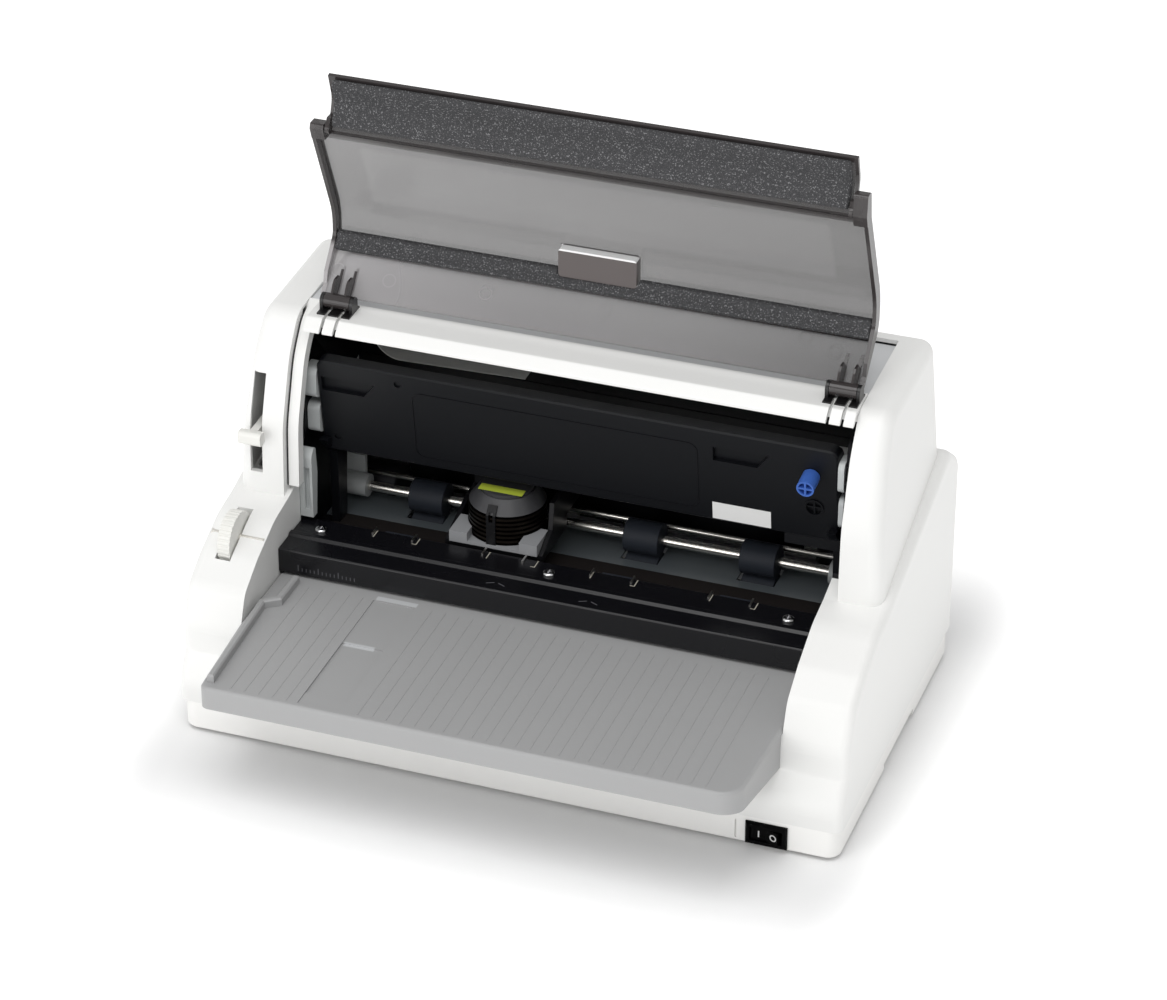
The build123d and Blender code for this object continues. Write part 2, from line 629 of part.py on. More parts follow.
def guide_plate(y, roller_y):
    """A paper guide plate with a window for each lower roller."""
    with BuildPart() as plate:
        bar((-PLATE_X, PLATE_X), y, (TABLE_Z - PLATE_T, TABLE_Z))
        for x in ROLLER_XS:
            bar(
                (x - window_x, x + window_x),
                (roller_y - window_y, roller_y + window_y),
                (TABLE_Z - 2 * PLATE_T, TABLE_Z + 1),
                Mode.SUBTRACT,
            )
        for side in (-1, 1):
            lip_x = sorted((side * PLATE_X, side * (PLATE_X - PLATE_T)))
            bar(lip_x, y, (TABLE_Z - 6, TABLE_Z - 0.5))
    return plate


front_guide_plate = guide_plate((FRONT + TABLE_END + FIT, platen_y - PLATEN_HALF - FIT), pinch_y)
with front_guide_plate:
    bar(
        (CHEEK_RIGHT - FIT, PLATE_X + 1),
        (FRONT, FRONT + CHEEK_WALL_END + FIT),
        (TABLE_Z - 10, TABLE_Z + 1),
        Mode.SUBTRACT,
    )
rear_guide_plate = guide_plate((platen_y + PLATEN_HALF + FIT, FRONT + PLATE_END), feed_y)

with BuildPart() as platen_bar:
    bar(
        (-PLATE_X, PLATE_X),
        (platen_y - PLATEN_HALF, platen_y + PLATEN_HALF),
        (TABLE_Z - 9, TABLE_Z + 0.3),
    )
    chamfer(platen_bar.faces().sort_by(Axis.Z)[-1].edges().filter_by(Axis.X), 1.0)

# ================================================================ frame
CARRY_SET = 172.0         # carriage shaft, behind the front
CARRY_Z = 112.0
CARRY_R = 6.0
FRAME_END = 216.0
FRAME_START = 104.0
FRAME_FRONT_Z = 114.0
PAN_START = 30.0
carry_y = FRONT + CARRY_SET
frame_low = PAN_Z + FRAME_T

with BuildPart() as chassis_pan:
    bar((-frame_out, frame_out), (FRONT + PAN_START, FRONT + FRAME_END), (PAN_Z, frame_low))
    bar((-FRAME_X + 10, FRAME_X - 10), (FRONT + PAN_START + 25, FRONT + 95), (PAN_Z - 1, frame_low + 1), Mode.SUBTRACT)

frame_corners = [
    (FRONT + FRAME_START, frame_low, 0),
    (FRONT + FRAME_START, FRAME_FRONT_Z, 3),
    (FRONT + FRAME_START + 12, BAR_TOP - 24, 6),
    (FRONT + FRAME_START + 24, BAR_TOP - 24, 10),
    (FRONT + CARRY_SET - 6, CARRY_Z + 42, 15),
    (FRONT + FRAME_END, CARRY_Z + 16, 6),
    (FRONT + FRAME_END, frame_low, 0),
]


def side_frame(x):
    """A steel side frame between x[0] and x[1] with the shaft holes."""
    with BuildPart() as frame:
        round_slab(frame_corners, x)
        hole_x = (x[0] - 1, x[1] + 1)
        for y, z, radius in (
            (feed_y, upper_axis_z, SHAFT_R),
            (feed_y, lower_axis_z, SHAFT_R),
            (pinch_y, lower_axis_z, SHAFT_R),
            (carry_y, CARRY_Z, CARRY_R),
        ):
            rod(hole_x, y, z, radius + RUN, Mode.SUBTRACT)
    return frame


side_frame_left = side_frame((-frame_out, -FRAME_X))
side_frame_right = side_frame((FRAME_X, frame_out))

with BuildPart() as carriage_shaft:
    rod((OPEN_LEFT + FIT, OPEN_RIGHT - FIT - 2), carry_y, CARRY_Z, CARRY_R)
    chamfer(carriage_shaft.edges().filter_by(GeomType.CIRCLE), 0.6)

BUSH_LEN = 18.6
BUSH_R = 7.0
BUSH_PLATE_TOP = 103.0
with BuildPart() as shaft_bushes:
    for side in (-1, 1):
        bush_x = sorted((side * PLATE_X, side * (PLATE_X - BUSH_LEN)))
        rod(bush_x, feed_y, upper_axis_z, BUSH_R)
        plate_x = sorted((side * PLATE_X, side * (PLATE_X - BUSH_LEN + 4)))
        bar(plate_x, (feed_y + 4, feed_y + BUSH_R), (upper_axis_z, BUSH_PLATE_TOP))
    for side in (-1, 1):
        bush_x = sorted((side * (PLATE_X + 1), side * (PLATE_X - BUSH_LEN - 1)))
        rod(bush_x, feed_y, upper_axis_z, SHAFT_R + RUN, Mode.SUBTRACT)

# ================================================================ feed gears and motor
GEAR_M = 1.0
FEED_TEETH = 20
IDLER_TEETH = 28
BIG_TEETH = 40
PINION_TEETH = 12
MESH_GAP = 0.3            # added to the centre distance of two meshing gears
IDLER_DROP = 3.4          # idler axis below the lower shafts
PINION_TURN = 20.0        # direction of the motor from the rear lower shaft
FEED_MOTOR_R = 14.0
FEED_MOTOR_L = 30.0
idler_y = (feed_y + pinch_y) / 2
idler_z = lower_axis_z - IDLER_DROP
pinion_far = GEAR_M * (BIG_TEETH + PINION_TEETH) / 2 + MESH_GAP
pinion_y = feed_y + pinion_far * math.cos(math.radians(PINION_TURN))
pinion_z = lower_axis_z + pinion_far * math.sin(math.radians(PINION_TURN))


def mesh_turn(teeth_a, turn_a, teeth_b, direction):
    """The turn of gear b that meshes with gear a, seen in a direction from a."""
    pitch_a = 360 / teeth_a
    pitch_b = 360 / teeth_b
    phase = ((direction - turn_a) / pitch_a) % 1
    return direction + 180 - pitch_b * (0.5 - phase)


def gear_plane(x, y, z, turn):
    """The plane of a gear's left face, turned about its axis."""
    angle = math.radians(turn)
    return Plane(origin=(x, y, z), x_dir=(0, math.cos(angle), math.sin(angle)), z_dir=(1, 0, 0))


idler_way = math.degrees(math.atan2(idler_z - lower_axis_z, idler_y - feed_y))
front_way = math.degrees(math.atan2(lower_axis_z - idler_z, pinch_y - idler_y))
idler_turn = mesh_turn(FEED_TEETH, 0, IDLER_TEETH, idler_way)
front_turn = mesh_turn(IDLER_TEETH, idler_turn, FEED_TEETH, front_way)
upper_turn = mesh_turn(FEED_TEETH, 0, FEED_TEETH, 90)
pinion_turn = mesh_turn(BIG_TEETH, 0, PINION_TEETH, PINION_TURN)
for shaft, teeth, y, z, x, turn in (
    (rear_lower_shaft, FEED_TEETH, feed_y, lower_axis_z, gear_x, 0),
    (rear_lower_shaft, BIG_TEETH, feed_y, lower_axis_z, big_x, 0),
    (rear_upper_shaft, FEED_TEETH, feed_y, upper_axis_z, gear_x, upper_turn),
    (front_lower_shaft, FEED_TEETH, pinch_y, lower_axis_z, gear_x, front_turn),
):
    with shaft:
        spot = gear_plane(x, y, z, turn)
        extrude(gear_face(teeth, GEAR_M, SHAFT_R / 2, spot), amount=GEAR_W)
IDLER_PIN_R = 2.5
with BuildPart() as idler_gear:
    idler_spot = gear_plane(gear_x, idler_y, idler_z, idler_turn)
    extrude(gear_face(IDLER_TEETH, GEAR_M, IDLER_PIN_R + RUN, idler_spot), amount=GEAR_W)
MOTOR_SHAFT_R = 2.0
with BuildPart() as motor_pinion:
    pinion_spot = gear_plane(big_x, pinion_y, pinion_z, pinion_turn)
    extrude(gear_face(PINION_TEETH, GEAR_M, MOTOR_SHAFT_R / 2, pinion_spot), amount=GEAR_W)
    rod((big_x, -FRAME_X + 4), pinion_y, pinion_z, MOTOR_SHAFT_R)

with BuildPart() as feed_motor:
    rod((-PLATE_X, -PLATE_X + FEED_MOTOR_L), pinion_y, pinion_z, FEED_MOTOR_R)
    chamfer(feed_motor.edges().filter_by(GeomType.CIRCLE), 1.0)
    rod((-PLATE_X - 1, -FRAME_X + 5), pinion_y, pinion_z, MOTOR_SHAFT_R + RUN, Mode.SUBTRACT)

# the motor's hole and the riveted pin of the idler gear
with side_frame_left:
    rod((-frame_out - 1, -FRAME_X + 1), pinion_y, pinion_z, MOTOR_SHAFT_R + 1, Mode.SUBTRACT)
    rod((gear_x - 1, -FRAME_X), idler_y, idler_z, IDLER_PIN_R)

# room for the motor beside the rear guide plate
with rear_guide_plate:
    bar(
        (-PLATE_X - 1, -PLATE_X + FEED_MOTOR_L + 1),
        (pinion_y - FEED_MOTOR_R - 1, FRONT + PLATE_END + 1),
        (TABLE_Z - 10, TABLE_Z + 1),
        Mode.SUBTRACT,
    )

# ================================================================ carriage
HEAD_X = -44.5            # print head at rest
RAIL_PLATE_Z = 104.5
RAIL_PLATE_SETS = (186.6, 214.0)
BELT_SET = 199.5
PULLEY_X = 141.0
PULLEY_R = 5.8
BELT_T = 1.2
BELT_Z = (108.8, 114.3)
IDLER_POST_R = 2.0
CARRY_MOTOR_H = 38.0
CARRY_MOTOR_R = 18.0
FIN_R = 23.0
HEAD_CORE_R = 19.5
HEAD_LOW = 93.0
FIN_PITCH = 2.9
FIN_THICK = 1.5
FIN_COUNT = 7
NOSE = (16.0, 8.0)
RIBBON_Z = PAPER_Z + 0.4
RIBBON_T = 0.2
NOSE_GAP = 0.3
CAP_H = 10.0
CAP_R = 15.5
CARRIAGE_HALF = 30.0
CHEEK_T = 2.7
CARRIAGE_LOW = 89.2
BLOCK_SETS = (153.0, 186.0)
BLOCK_Z = (98.0, 126.0)
HEAD_FIT = 0.4
head_top = HEAD_LOW + FIN_COUNT * FIN_PITCH
cheek_in = CARRIAGE_HALF - CHEEK_T

with BuildPart() as print_head:
    post(HEAD_X, platen_y, (HEAD_LOW, head_top), HEAD_CORE_R)
    for index in range(FIN_COUNT):
        fin_z = HEAD_LOW + index * FIN_PITCH
        post(HEAD_X, platen_y, (fin_z, fin_z + FIN_THICK), FIN_R)
    nose_low = RIBBON_Z + RIBBON_T + NOSE_GAP
    bar(
        (HEAD_X - NOSE[0] / 2, HEAD_X + NOSE[0] / 2),
        (platen_y - NOSE[1] / 2, platen_y + NOSE[1] / 2),
        (nose_low, HEAD_LOW + 1),
    )
    chamfer(print_head.faces().sort_by(Axis.Z)[0].edges(), 1.5)
    # flat at the back, clear of the feed rollers
    bar(
        (HEAD_X - FIN_R, HEAD_X + FIN_R),
        (feed_y - ROLLER_R + 2.5, feed_y),
        (HEAD_LOW - 1, upper_axis_z + ROLLER_R + 0.5),
        Mode.SUBTRACT,
    )

with BuildPart() as head_cap:
    with BuildSketch(Plane.XY.offset(head_top)):
        with Locations((HEAD_X, platen_y)):
            Circle(FIN_R - 0.5)
    with BuildSketch(Plane.XY.offset(head_top + CAP_H - 2)):
        with Locations((HEAD_X, platen_y)):
            Circle(CAP_R + 1)
    loft()
    post(HEAD_X, platen_y, (head_top + CAP_H - 2, head_top + CAP_H), CAP_R)

CLIP_OFF = -1.8
CLIP_W = 5.6
CLIP_T = 0.8
CLIP_GAP = 0.25
HOOK_H = 5.0              # the clip's end rests on the cap's slope, this high
HOOK_LEAN = (FIN_R - CAP_R - 1.5) / (CAP_H - 2)
with BuildPart() as head_clip:
    clip_front = platen_y - FIN_R - 0.1
    hook_in = FIN_R - 0.5 - HOOK_H * HOOK_LEAN + CLIP_GAP
    slab(
        [
            (clip_front, HEAD_LOW + 1),
            (clip_front, head_top),
            (platen_y - hook_in, head_top + HOOK_H),
            (platen_y - hook_in - 0.6, head_top + HOOK_H + 0.5),
            (clip_front - CLIP_T, head_top + 0.4),
            (clip_front - CLIP_T, HEAD_LOW + 1),
        ],
        (HEAD_X + CLIP_OFF - CLIP_W / 2, HEAD_X + CLIP_OFF + CLIP_W / 2),
    )
    with Locations((HEAD_X + CLIP_OFF, clip_front, head_top - 1)):
        Box(2.6, 6, 6, mode=Mode.SUBTRACT)

with BuildPart() as carriage:
    # plate below the head, with a hole for its nose
    plate_y = (platen_y - 24, FRONT + BLOCK_SETS[0] - 6)
    bar(
        (HEAD_X - CARRIAGE_HALF, HEAD_X + CARRIAGE_HALF),
        plate_y,
        (CARRIAGE_LOW, HEAD_LOW - HEAD_FIT),
    )
    bar(
        (HEAD_X - NOSE[0] / 2 - 1, HEAD_X + NOSE[0] / 2 + 1),
        (platen_y - NOSE[1] / 2 - 1, platen_y + NOSE[1] / 2 + 1),
        (CARRIAGE_LOW - 1, HEAD_LOW + 1),
        Mode.SUBTRACT,
    )
    cheek = [
        (plate_y[0], CARRIAGE_LOW),
        (plate_y[1], CARRIAGE_LOW),
        (plate_y[1], BLOCK_Z[0]),
        (FRONT + BLOCK_SETS[0] + 2, BLOCK_Z[0]),
        (FRONT + BLOCK_SETS[0] + 2, head_top + 4),
        (platen_y - 4, head_top + 4),
        (platen_y - 7, HEAD_LOW + 8),
        (plate_y[0], HEAD_LOW),
    ]
    slab(cheek, (HEAD_X + cheek_in, HEAD_X + CARRIAGE_HALF))
    low_cheek = cheek[:4] + [
        (FRONT + BLOCK_SETS[0] + 2, BLOCK_Z[0] + 6),
        (plate_y[1] - 8, BLOCK_Z[0] + 6),
        (plate_y[0], HEAD_LOW),
    ]
    slab(low_cheek, (HEAD_X - CARRIAGE_HALF, HEAD_X - cheek_in))
    block_y = (FRONT + BLOCK_SETS[0] + 1, FRONT + BLOCK_SETS[1])
    bar((HEAD_X - CARRIAGE_HALF, HEAD_X + CARRIAGE_HALF), block_y, BLOCK_Z)
    back_corners = carriage.edges().filter_by(Axis.X).filter_by(
        lambda e: e.center().Y > block_y[1] - 0.01
    )
    fillet(back_corners, 3)
    rod((HEAD_X - 2 * CARRIAGE_HALF, HEAD_X + 2 * CARRIAGE_HALF), carry_y, CARRY_Z, CARRY_R + RUN, Mode.SUBTRACT)
    # clear of the carriage motor at the right end of the travel
    relief_y = (FRONT + BELT_SET - CARRY_MOTOR_R - 1, block_y[1] + 1)
    relief_x = (HEAD_X - CARRIAGE_HALF - 1, HEAD_X + CARRIAGE_HALF + 1)
    bar(relief_x, relief_y, (BLOCK_Z[0] - 1, RAIL_PLATE_Z + 1), Mode.SUBTRACT)
    # shoe on the rear rail, and the arm that grips the belt
    bar((HEAD_X - 20, HEAD_X + 20), (block_y[1] - 4, block_y[1] + 4.5), (106.3, 110))
    arm_end = FRONT + BELT_SET - PULLEY_R - RUN - BELT_T - FIT
    bar((HEAD_X - 8, HEAD_X + 8), (block_y[1] - 4, arm_end), (109.5, BELT_Z[1]))

BRACKET_HALF = 27.0
BRACKET_EAR = 11.0
with BuildPart() as head_bracket:
    bar(
        (HEAD_X - BRACKET_HALF, HEAD_X + BRACKET_HALF),
        (rail_back + FIT + WIRE + 0.4, platen_y - 6),
        (HEAD_LOW - 0.2, HEAD_LOW + 7),
    )
    bar(
        (HEAD_X - BRACKET_HALF + BRACKET_EAR, HEAD_X + BRACKET_HALF - BRACKET_EAR),
        (rail_back, platen_y),
        (HEAD_LOW + 1.5, HEAD_LOW + 8),
        Mode.SUBTRACT,
    )
    post(HEAD_X, platen_y, (HEAD_LOW - 5, HEAD_LOW + 20), FIN_R + 0.3, Mode.SUBTRACT)
    bar(
        (HEAD_X + CLIP_OFF - CLIP_W / 2 - FIT, HEAD_X + CLIP_OFF + CLIP_W / 2 + FIT),
        (clip_front - CLIP_T - FIT, platen_y),
        (HEAD_LOW - 1, HEAD_LOW + 20),
        Mode.SUBTRACT,
    )

# rear rail with the belt drive
belt_y = FRONT + BELT_SET
plate_top = RAIL_PLATE_Z + FRAME_T
FLANGE_X = (-128.0, 118.0)   # the rail's front flange ends clear of both motors
FLANGE_LOW = 79.0

with BuildPart() as rear_rail:
    bar((-PLATE_X, PLATE_X), (FRONT + RAIL_PLATE_SETS[0], FRONT + RAIL_PLATE_SETS[1]), (RAIL_PLATE_Z, plate_top))
    bar(
        (-PLATE_X, PLATE_X),
        (FRONT + RAIL_PLATE_SETS[1] - FRAME_T, FRONT + RAIL_PLATE_SETS[1]),
        (RAIL_PLATE_Z, RAIL_PLATE_Z + 14),
    )
    flange_y = (FRONT + RAIL_PLATE_SETS[0], FRONT + RAIL_PLATE_SETS[0] + FRAME_T)
    bar((FLANGE_X[0], FLANGE_X[1]), flange_y, (FLANGE_LOW, RAIL_PLATE_Z + 0.5))
    post(PULLEY_X, belt_y, (RAIL_PLATE_Z - 1, plate_top + 1), 4.0, Mode.SUBTRACT)
    post(-PULLEY_X, belt_y, (RAIL_PLATE_Z, BELT_Z[1] + 3), IDLER_POST_R)


def pulley_shape(x, hole):
    """A flanged belt pulley on a vertical axis."""
    with BuildPart() as pulley:
        post(x, belt_y, (BELT_Z[0] - 0.3, BELT_Z[1] + 0.3), PULLEY_R)
        post(x, belt_y, (BELT_Z[0] - 1.5, BELT_Z[0] - 0.3), PULLEY_R + 2)
        post(x, belt_y, (BELT_Z[1] + 0.3, BELT_Z[1] + 1.5), PULLEY_R + 2)
        if hole:
            post(x, belt_y, (BELT_Z[0] - 2, BELT_Z[1] + 2), hole, Mode.SUBTRACT)
    return pulley


idler_pulley = pulley_shape(-PULLEY_X, IDLER_POST_R + RUN)
drive_pulley = pulley_shape(PULLEY_X, 0)
with drive_pulley:
    post(PULLEY_X, belt_y, (RAIL_PLATE_Z - 6, BELT_Z[0]), MOTOR_SHAFT_R)

with BuildPart() as carriage_motor:
    motor_z = (RAIL_PLATE_Z - CARRY_MOTOR_H, RAIL_PLATE_Z)
    post(PULLEY_X, belt_y, motor_z, CARRY_MOTOR_R)
    chamfer(carriage_motor.edges().filter_by(GeomType.CIRCLE), 1.5)
    post(PULLEY_X, belt_y, (RAIL_PLATE_Z - 7, RAIL_PLATE_Z + 1), MOTOR_SHAFT_R + RUN, Mode.SUBTRACT)

with BuildPart() as carriage_belt:
    with BuildSketch(Plane.XY.offset(BELT_Z[0])):
        with Locations((0, belt_y)):
            SlotCenterToCenter(2 * PULLEY_X, 2 * (PULLEY_R + RUN + BELT_T))
            SlotCenterToCenter(2 * PULLEY_X, 2 * (PULLEY_R + RUN), mode=Mode.SUBTRACT)
    extrude(amount=BELT_Z[1] - BELT_Z[0])

# ================================================================ ribbon cartridge
CART_X = (-154.0, 158.0)
CART_TOP = (110.0, 194.0)    # top edge of its face: behind the front, height
CART_LOW = (118.5, 131.0)    # bottom edge of its face
CART_T = 16.0
CART_TOP_DEEP = 8.0          # flat top, front to back; behind it the back slopes down
LEG_W = 5.0
DIMPLE_R = 2.2
APRON_X = 126.0              # from here to the right end the body reaches lower
APRON_LOW = 124.5            # clear of the print head's cap
GRIP_W = 33.0
GRIP_H = 9.5
GRIP_SLANT = 7.0
GRIP_DOWN = 11.0
KNOB_X = 142.6
KNOB_DOWN = 19.2             # knob axis below the face's top edge
KNOB_R = 5.1
KNOB_L = 12.0
HUB_AT = (144.0, 41.0)       # spoked hub below the knob: place along X, down the face
HUB_R = 5.6
face_len = math.hypot(CART_LOW[0] - CART_TOP[0], CART_TOP[1] - CART_LOW[1])
face_dy = (CART_LOW[0] - CART_TOP[0]) / face_len
face_dz = (CART_LOW[1] - CART_TOP[1]) / face_len
cart_face = Plane(
    origin=((CART_X[0] + CART_X[1]) / 2, FRONT + CART_TOP[0], CART_TOP[1]),
    x_dir=(1, 0, 0),
    z_dir=(0, face_dz, -face_dy),
)
cart_mid = cart_face.origin.X


def on_face(x, down, out=0.0):
    """A point on the cartridge's face, down from its top edge and out from it."""
    return (
        x,
        FRONT + CART_TOP[0] + face_dy * down + face_dz * out,
        CART_TOP[1] + face_dz * down - face_dy * out,
    )


with BuildPart() as ribbon_cartridge:
    with BuildSketch(cart_face):
        with Locations((0, -face_len / 2)):
            RectangleRounded(CART_X[1] - CART_X[0], face_len, 5)
    extrude(amount=-CART_T)
    chamfer(ribbon_cartridge.faces().sort_by(Axis.Y)[0].edges(), 1.0)
    slab(
        [
            (FRONT + CART_TOP[0] + CART_TOP_DEEP, CART_TOP[1] + 5),
            (FRONT + CART_TOP[0] + CART_TOP_DEEP, CART_TOP[1]),
            (FRONT + CART_TOP[0] + CART_T + 3, CART_TOP[1] - CART_T),
            (FRONT + CART_TOP[0] + CART_T + 9, CART_TOP[1] + 5),
        ],
        (CART_X[0] - 1, CART_X[1] + 1),
        Mode.SUBTRACT,
    )
    # finger grips sunk in the face
    with BuildSketch(cart_face):
        for grip_left in (CART_X[0] + 2.5, CART_X[1] - 73.0):
            left = grip_left - cart_mid
            with BuildLine():
                Polyline(
                    (left, -GRIP_DOWN),
                    (left + GRIP_W, -GRIP_DOWN),
                    (left + GRIP_W - GRIP_SLANT, -GRIP_DOWN - GRIP_H),
                    (left, -GRIP_DOWN - GRIP_H),
                    close=True,
                )
            make_face()
    extrude(amount=-3, mode=Mode.SUBTRACT)
    # raised line frame and two dimples
    with BuildSketch(cart_face):
        with Locations((-12, -34)):
            RectangleRounded(172, 46, 6)
            RectangleRounded(170.8, 44.8, 5.4, mode=Mode.SUBTRACT)
    extrude(amount=0.4)
    with BuildSketch(cart_face):
        with Locations((CART_X[0] + 50 - cart_mid, -7.3), (CART_X[0] + 9.5 - cart_mid, -53)):
            Circle(DIMPLE_R)
    extrude(amount=-1.2, mode=Mode.SUBTRACT)
    # the shaft hole of the knob and the spoked hub below it
    with BuildSketch(cart_face):
        with Locations((KNOB_X - cart_mid, -KNOB_DOWN)):
            Circle(2.5 + RUN)
    extrude(amount=-8, mode=Mode.SUBTRACT)
    with BuildSketch(cart_face):
        with Locations((HUB_AT[0] - cart_mid, -HUB_AT[1])):
            Circle(HUB_R)
            Circle(HUB_R - 1, mode=Mode.SUBTRACT)
    extrude(amount=1.0)
    with BuildSketch(cart_face):
        with Locations((HUB_AT[0] - cart_mid, -HUB_AT[1])):
            Circle(HUB_R - 1)
            Rectangle(2 * HUB_R, 1.0, mode=Mode.SUBTRACT)
            Rectangle(1.0, 2 * HUB_R, mode=Mode.SUBTRACT)
    extrude(amount=-1.5, mode=Mode.SUBTRACT)
    # the body reaches lower at its right end
    bar(
        (APRON_X, CART_X[1]),
        (FRONT + CART_LOW[0] + 1, platen_y + 3),
        (APRON_LOW, CART_LOW[1] + 4),
    )
    # legs at both ends that lead the ribbon down to the print line
    leg_low = RIBBON_Z + RIBBON_T + FIT / 2
    leg = [
        (FRONT + CART_LOW[0] - 8, CART_LOW[1] + 10),
        (platen_y - 4, CART_LOW[1] - 6),
        (platen_y - 4, leg_low),
        (platen_y + 7, leg_low),
        (platen_y + 11, CART_LOW[1] + 6),
    ]
    for leg_x in ((CART_X[0], CART_X[0] + LEG_W), (CART_X[1] - LEG_W, CART_X[1])):
        slab(leg, leg_x)

knob_spot = Plane(origin=on_face(KNOB_X, KNOB_DOWN, 0.3), x_dir=(1, 0, 0), z_dir=cart_face.z_dir)
with BuildPart() as ribbon_knob:
    with BuildSketch(knob_spot):
        Circle(KNOB_R)
    extrude(amount=KNOB_L)
    # four sunk quarters leave a cross in its end
    with BuildSketch(knob_spot.offset(KNOB_L)):
        Circle(KNOB_R - 1.1)
        Rectangle(2 * KNOB_R, 1.1, mode=Mode.SUBTRACT)
        Rectangle(1.1, 2 * KNOB_R, mode=Mode.SUBTRACT)
    extrude(amount=-3.0, mode=Mode.SUBTRACT)
    with BuildSketch(knob_spot):
        Circle(2.5)
    extrude(amount=-7)

with BuildPart() as ribbon_band:
    bar((CART_X[0] + 1, CART_X[1] - 1), (platen_y - 6.5, platen_y + 6.5), (RIBBON_Z, RIBBON_Z + RIBBON_T))

# white holders on the frames that carry the cartridge's ends
HOLDER_HALF = 9.8
with BuildPart() as cartridge_holders:
    for holder_x in ((-PLATE_X, CART_X[0] - FIT), (CART_X[1] + FIT, PLATE_X)):
        for down in (18.0, 43.0):
            spot = on_face(0, down, -CART_T / 2)
            bar(holder_x, (spot[1] - HOLDER_HALF, spot[1] + 5), (spot[2] - HOLDER_HALF, spot[2] + HOLDER_HALF))
    fillet(cartridge_holders.edges().filter_by(Axis.X), 4.5)

BRACKET_W = 8.0
with BuildPart() as release_bracket:
    bracket_y = FRONT + 98.5
    round_slab(
        [
            (bracket_y, RAIL_Z + 3, 0),
            (bracket_y + 5.5, RAIL_Z + 3, 0),
            (bracket_y + 8, PLATEAU_Z + 6, 0),
            (bracket_y + 6, PLATEAU_Z + 26, 2),
            (bracket_y, PLATEAU_Z + 20, 6),
        ],
        (-PLATE_X, -PLATE_X + BRACKET_W),
    )
    bar(
        (-PLATE_X + 3, -PLATE_X + BRACKET_W - 1.5),
        (bracket_y - 1, bracket_y + 2.5),
        (RAIL_Z + 8, PLATEAU_Z + 12),
        Mode.SUBTRACT,
    )

# flat cable to the print head, along its route above the cartridge
FLEX_T = 0.5
FLEX_W = 15.0
FLEX_SET = 142.5
FLEX_Z = 184.0
FLEX_X = (-131.0, -38.0)
FLEX_R = 16.0
FLEX_RISE = 30.0
with BuildPart() as flex_cable:
    flex_run = [
        (FLEX_X[0], FLEX_Z + FLEX_RISE, 0),
        (FLEX_X[0], FLEX_Z, FLEX_R),
        (FLEX_X[1], FLEX_Z + 2.5, 0),
    ]
    flex_plane = Plane.XZ.offset(-FRONT - FLEX_SET)
    extrude(round_face(sheet_corners(flex_run, 0, FLEX_T), flex_plane), amount=-FLEX_W)

# the tab under the top panel that holds the cable's end
FLEX_TAB = 5.0
with top_inset_panel:
    tab_x = (FLEX_X[0] - FLEX_T - FIT - FLEX_TAB, FLEX_X[0] - FLEX_T - FIT)
    tab_y = (FRONT + FLEX_SET - 2, FRONT + FLEX_SET + FLEX_W + 2)
    bar(tab_x, tab_y, (FLEX_Z + FLEX_RISE - 14, INSET_Z - INSET_T / 2))

# ================================================================ electronics
BOARD = (190.0, 150.0, 1.6)
BOARD_AT = (-40.0, 0.0, 10.0)
STAND_R = 3.5
CAPS_X = 78.0             # row of capacitors, right of the board's middle
board_low = BOARD_AT[2]
board_top = board_low + BOARD[2]
with base_tray:
    with Locations((BOARD_AT[0], BOARD_AT[1], (FLOOR_Z - 0.5 + board_low) / 2)):
        with GridLocations(BOARD[0] - 14, BOARD[1] - 14, 2, 2):
            Cylinder(STAND_R, board_low - FLOOR_Z + 0.5)

with BuildPart() as main_board:
    with Locations((BOARD_AT[0], BOARD_AT[1], board_low + BOARD[2] / 2)):
        Box(*BOARD)
    with Locations((BOARD_AT[0] - 30, BOARD_AT[1] + 10, board_top + 1.7)):
        with GridLocations(50, 40, 3, 3):
            Box(30, 14, 3.6)
    with Locations((BOARD_AT[0] + CAPS_X, BOARD_AT[1] - 30, board_top + 9)):
        with GridLocations(1, 26, 1, 4):
            Cylinder(8, 18.2)
    with Locations((BOARD_AT[0] - 88, BOARD_AT[1], board_top + 4)):
        Box(6, 60, 8.2)

SUPPLY_X = (66.0, 140.0)
SUPPLY_Y = (-10.0, 88.0)
SUPPLY_H = 46.0
with BuildPart() as power_supply:
    bar(SUPPLY_X, SUPPLY_Y, (FLOOR_Z + FIT, FLOOR_Z + FIT + SUPPLY_H))
    supply_top = FLOOR_Z + FIT + SUPPLY_H
    with Locations(((SUPPLY_X[0] + SUPPLY_X[1]) / 2, (SUPPLY_Y[0] + SUPPLY_Y[1]) / 2, supply_top)):
        with GridLocations(1, 7, 1, 10):
            Box(48, 2.6, 2.0, mode=Mode.SUBTRACT)

# mains inlet and data sockets in the back wall
INLET_X = BASE_X - 39.0
INLET_Z = 42.0
INLET_HOLE = (27.8, 20.0)
INLET_FLANGE = (31.0, 24.5)
PORT_X = -90.0
PORT_HOLE = (56.0, 13.0)
SERIAL_X = -20.0
SERIAL_HOLE = (20.0, 11.0)
inside_back = BACK - WALL
with lower_casing:
    for hole_x, hole in ((INLET_X, INLET_HOLE), (PORT_X, PORT_HOLE), (SERIAL_X, SERIAL_HOLE)):
        with Locations((hole_x, BACK - WALL / 2, INLET_Z)):
            Box(hole[0], 4 * WALL, hole[1], mode=Mode.SUBTRACT)
    # cooling slots in the back wall
    with Locations((0, BACK - WALL / 2, 88)):
        with GridLocations(8, 1, 26, 1):
            Box(2.6, 4 * WALL, 24, mode=Mode.SUBTRACT)

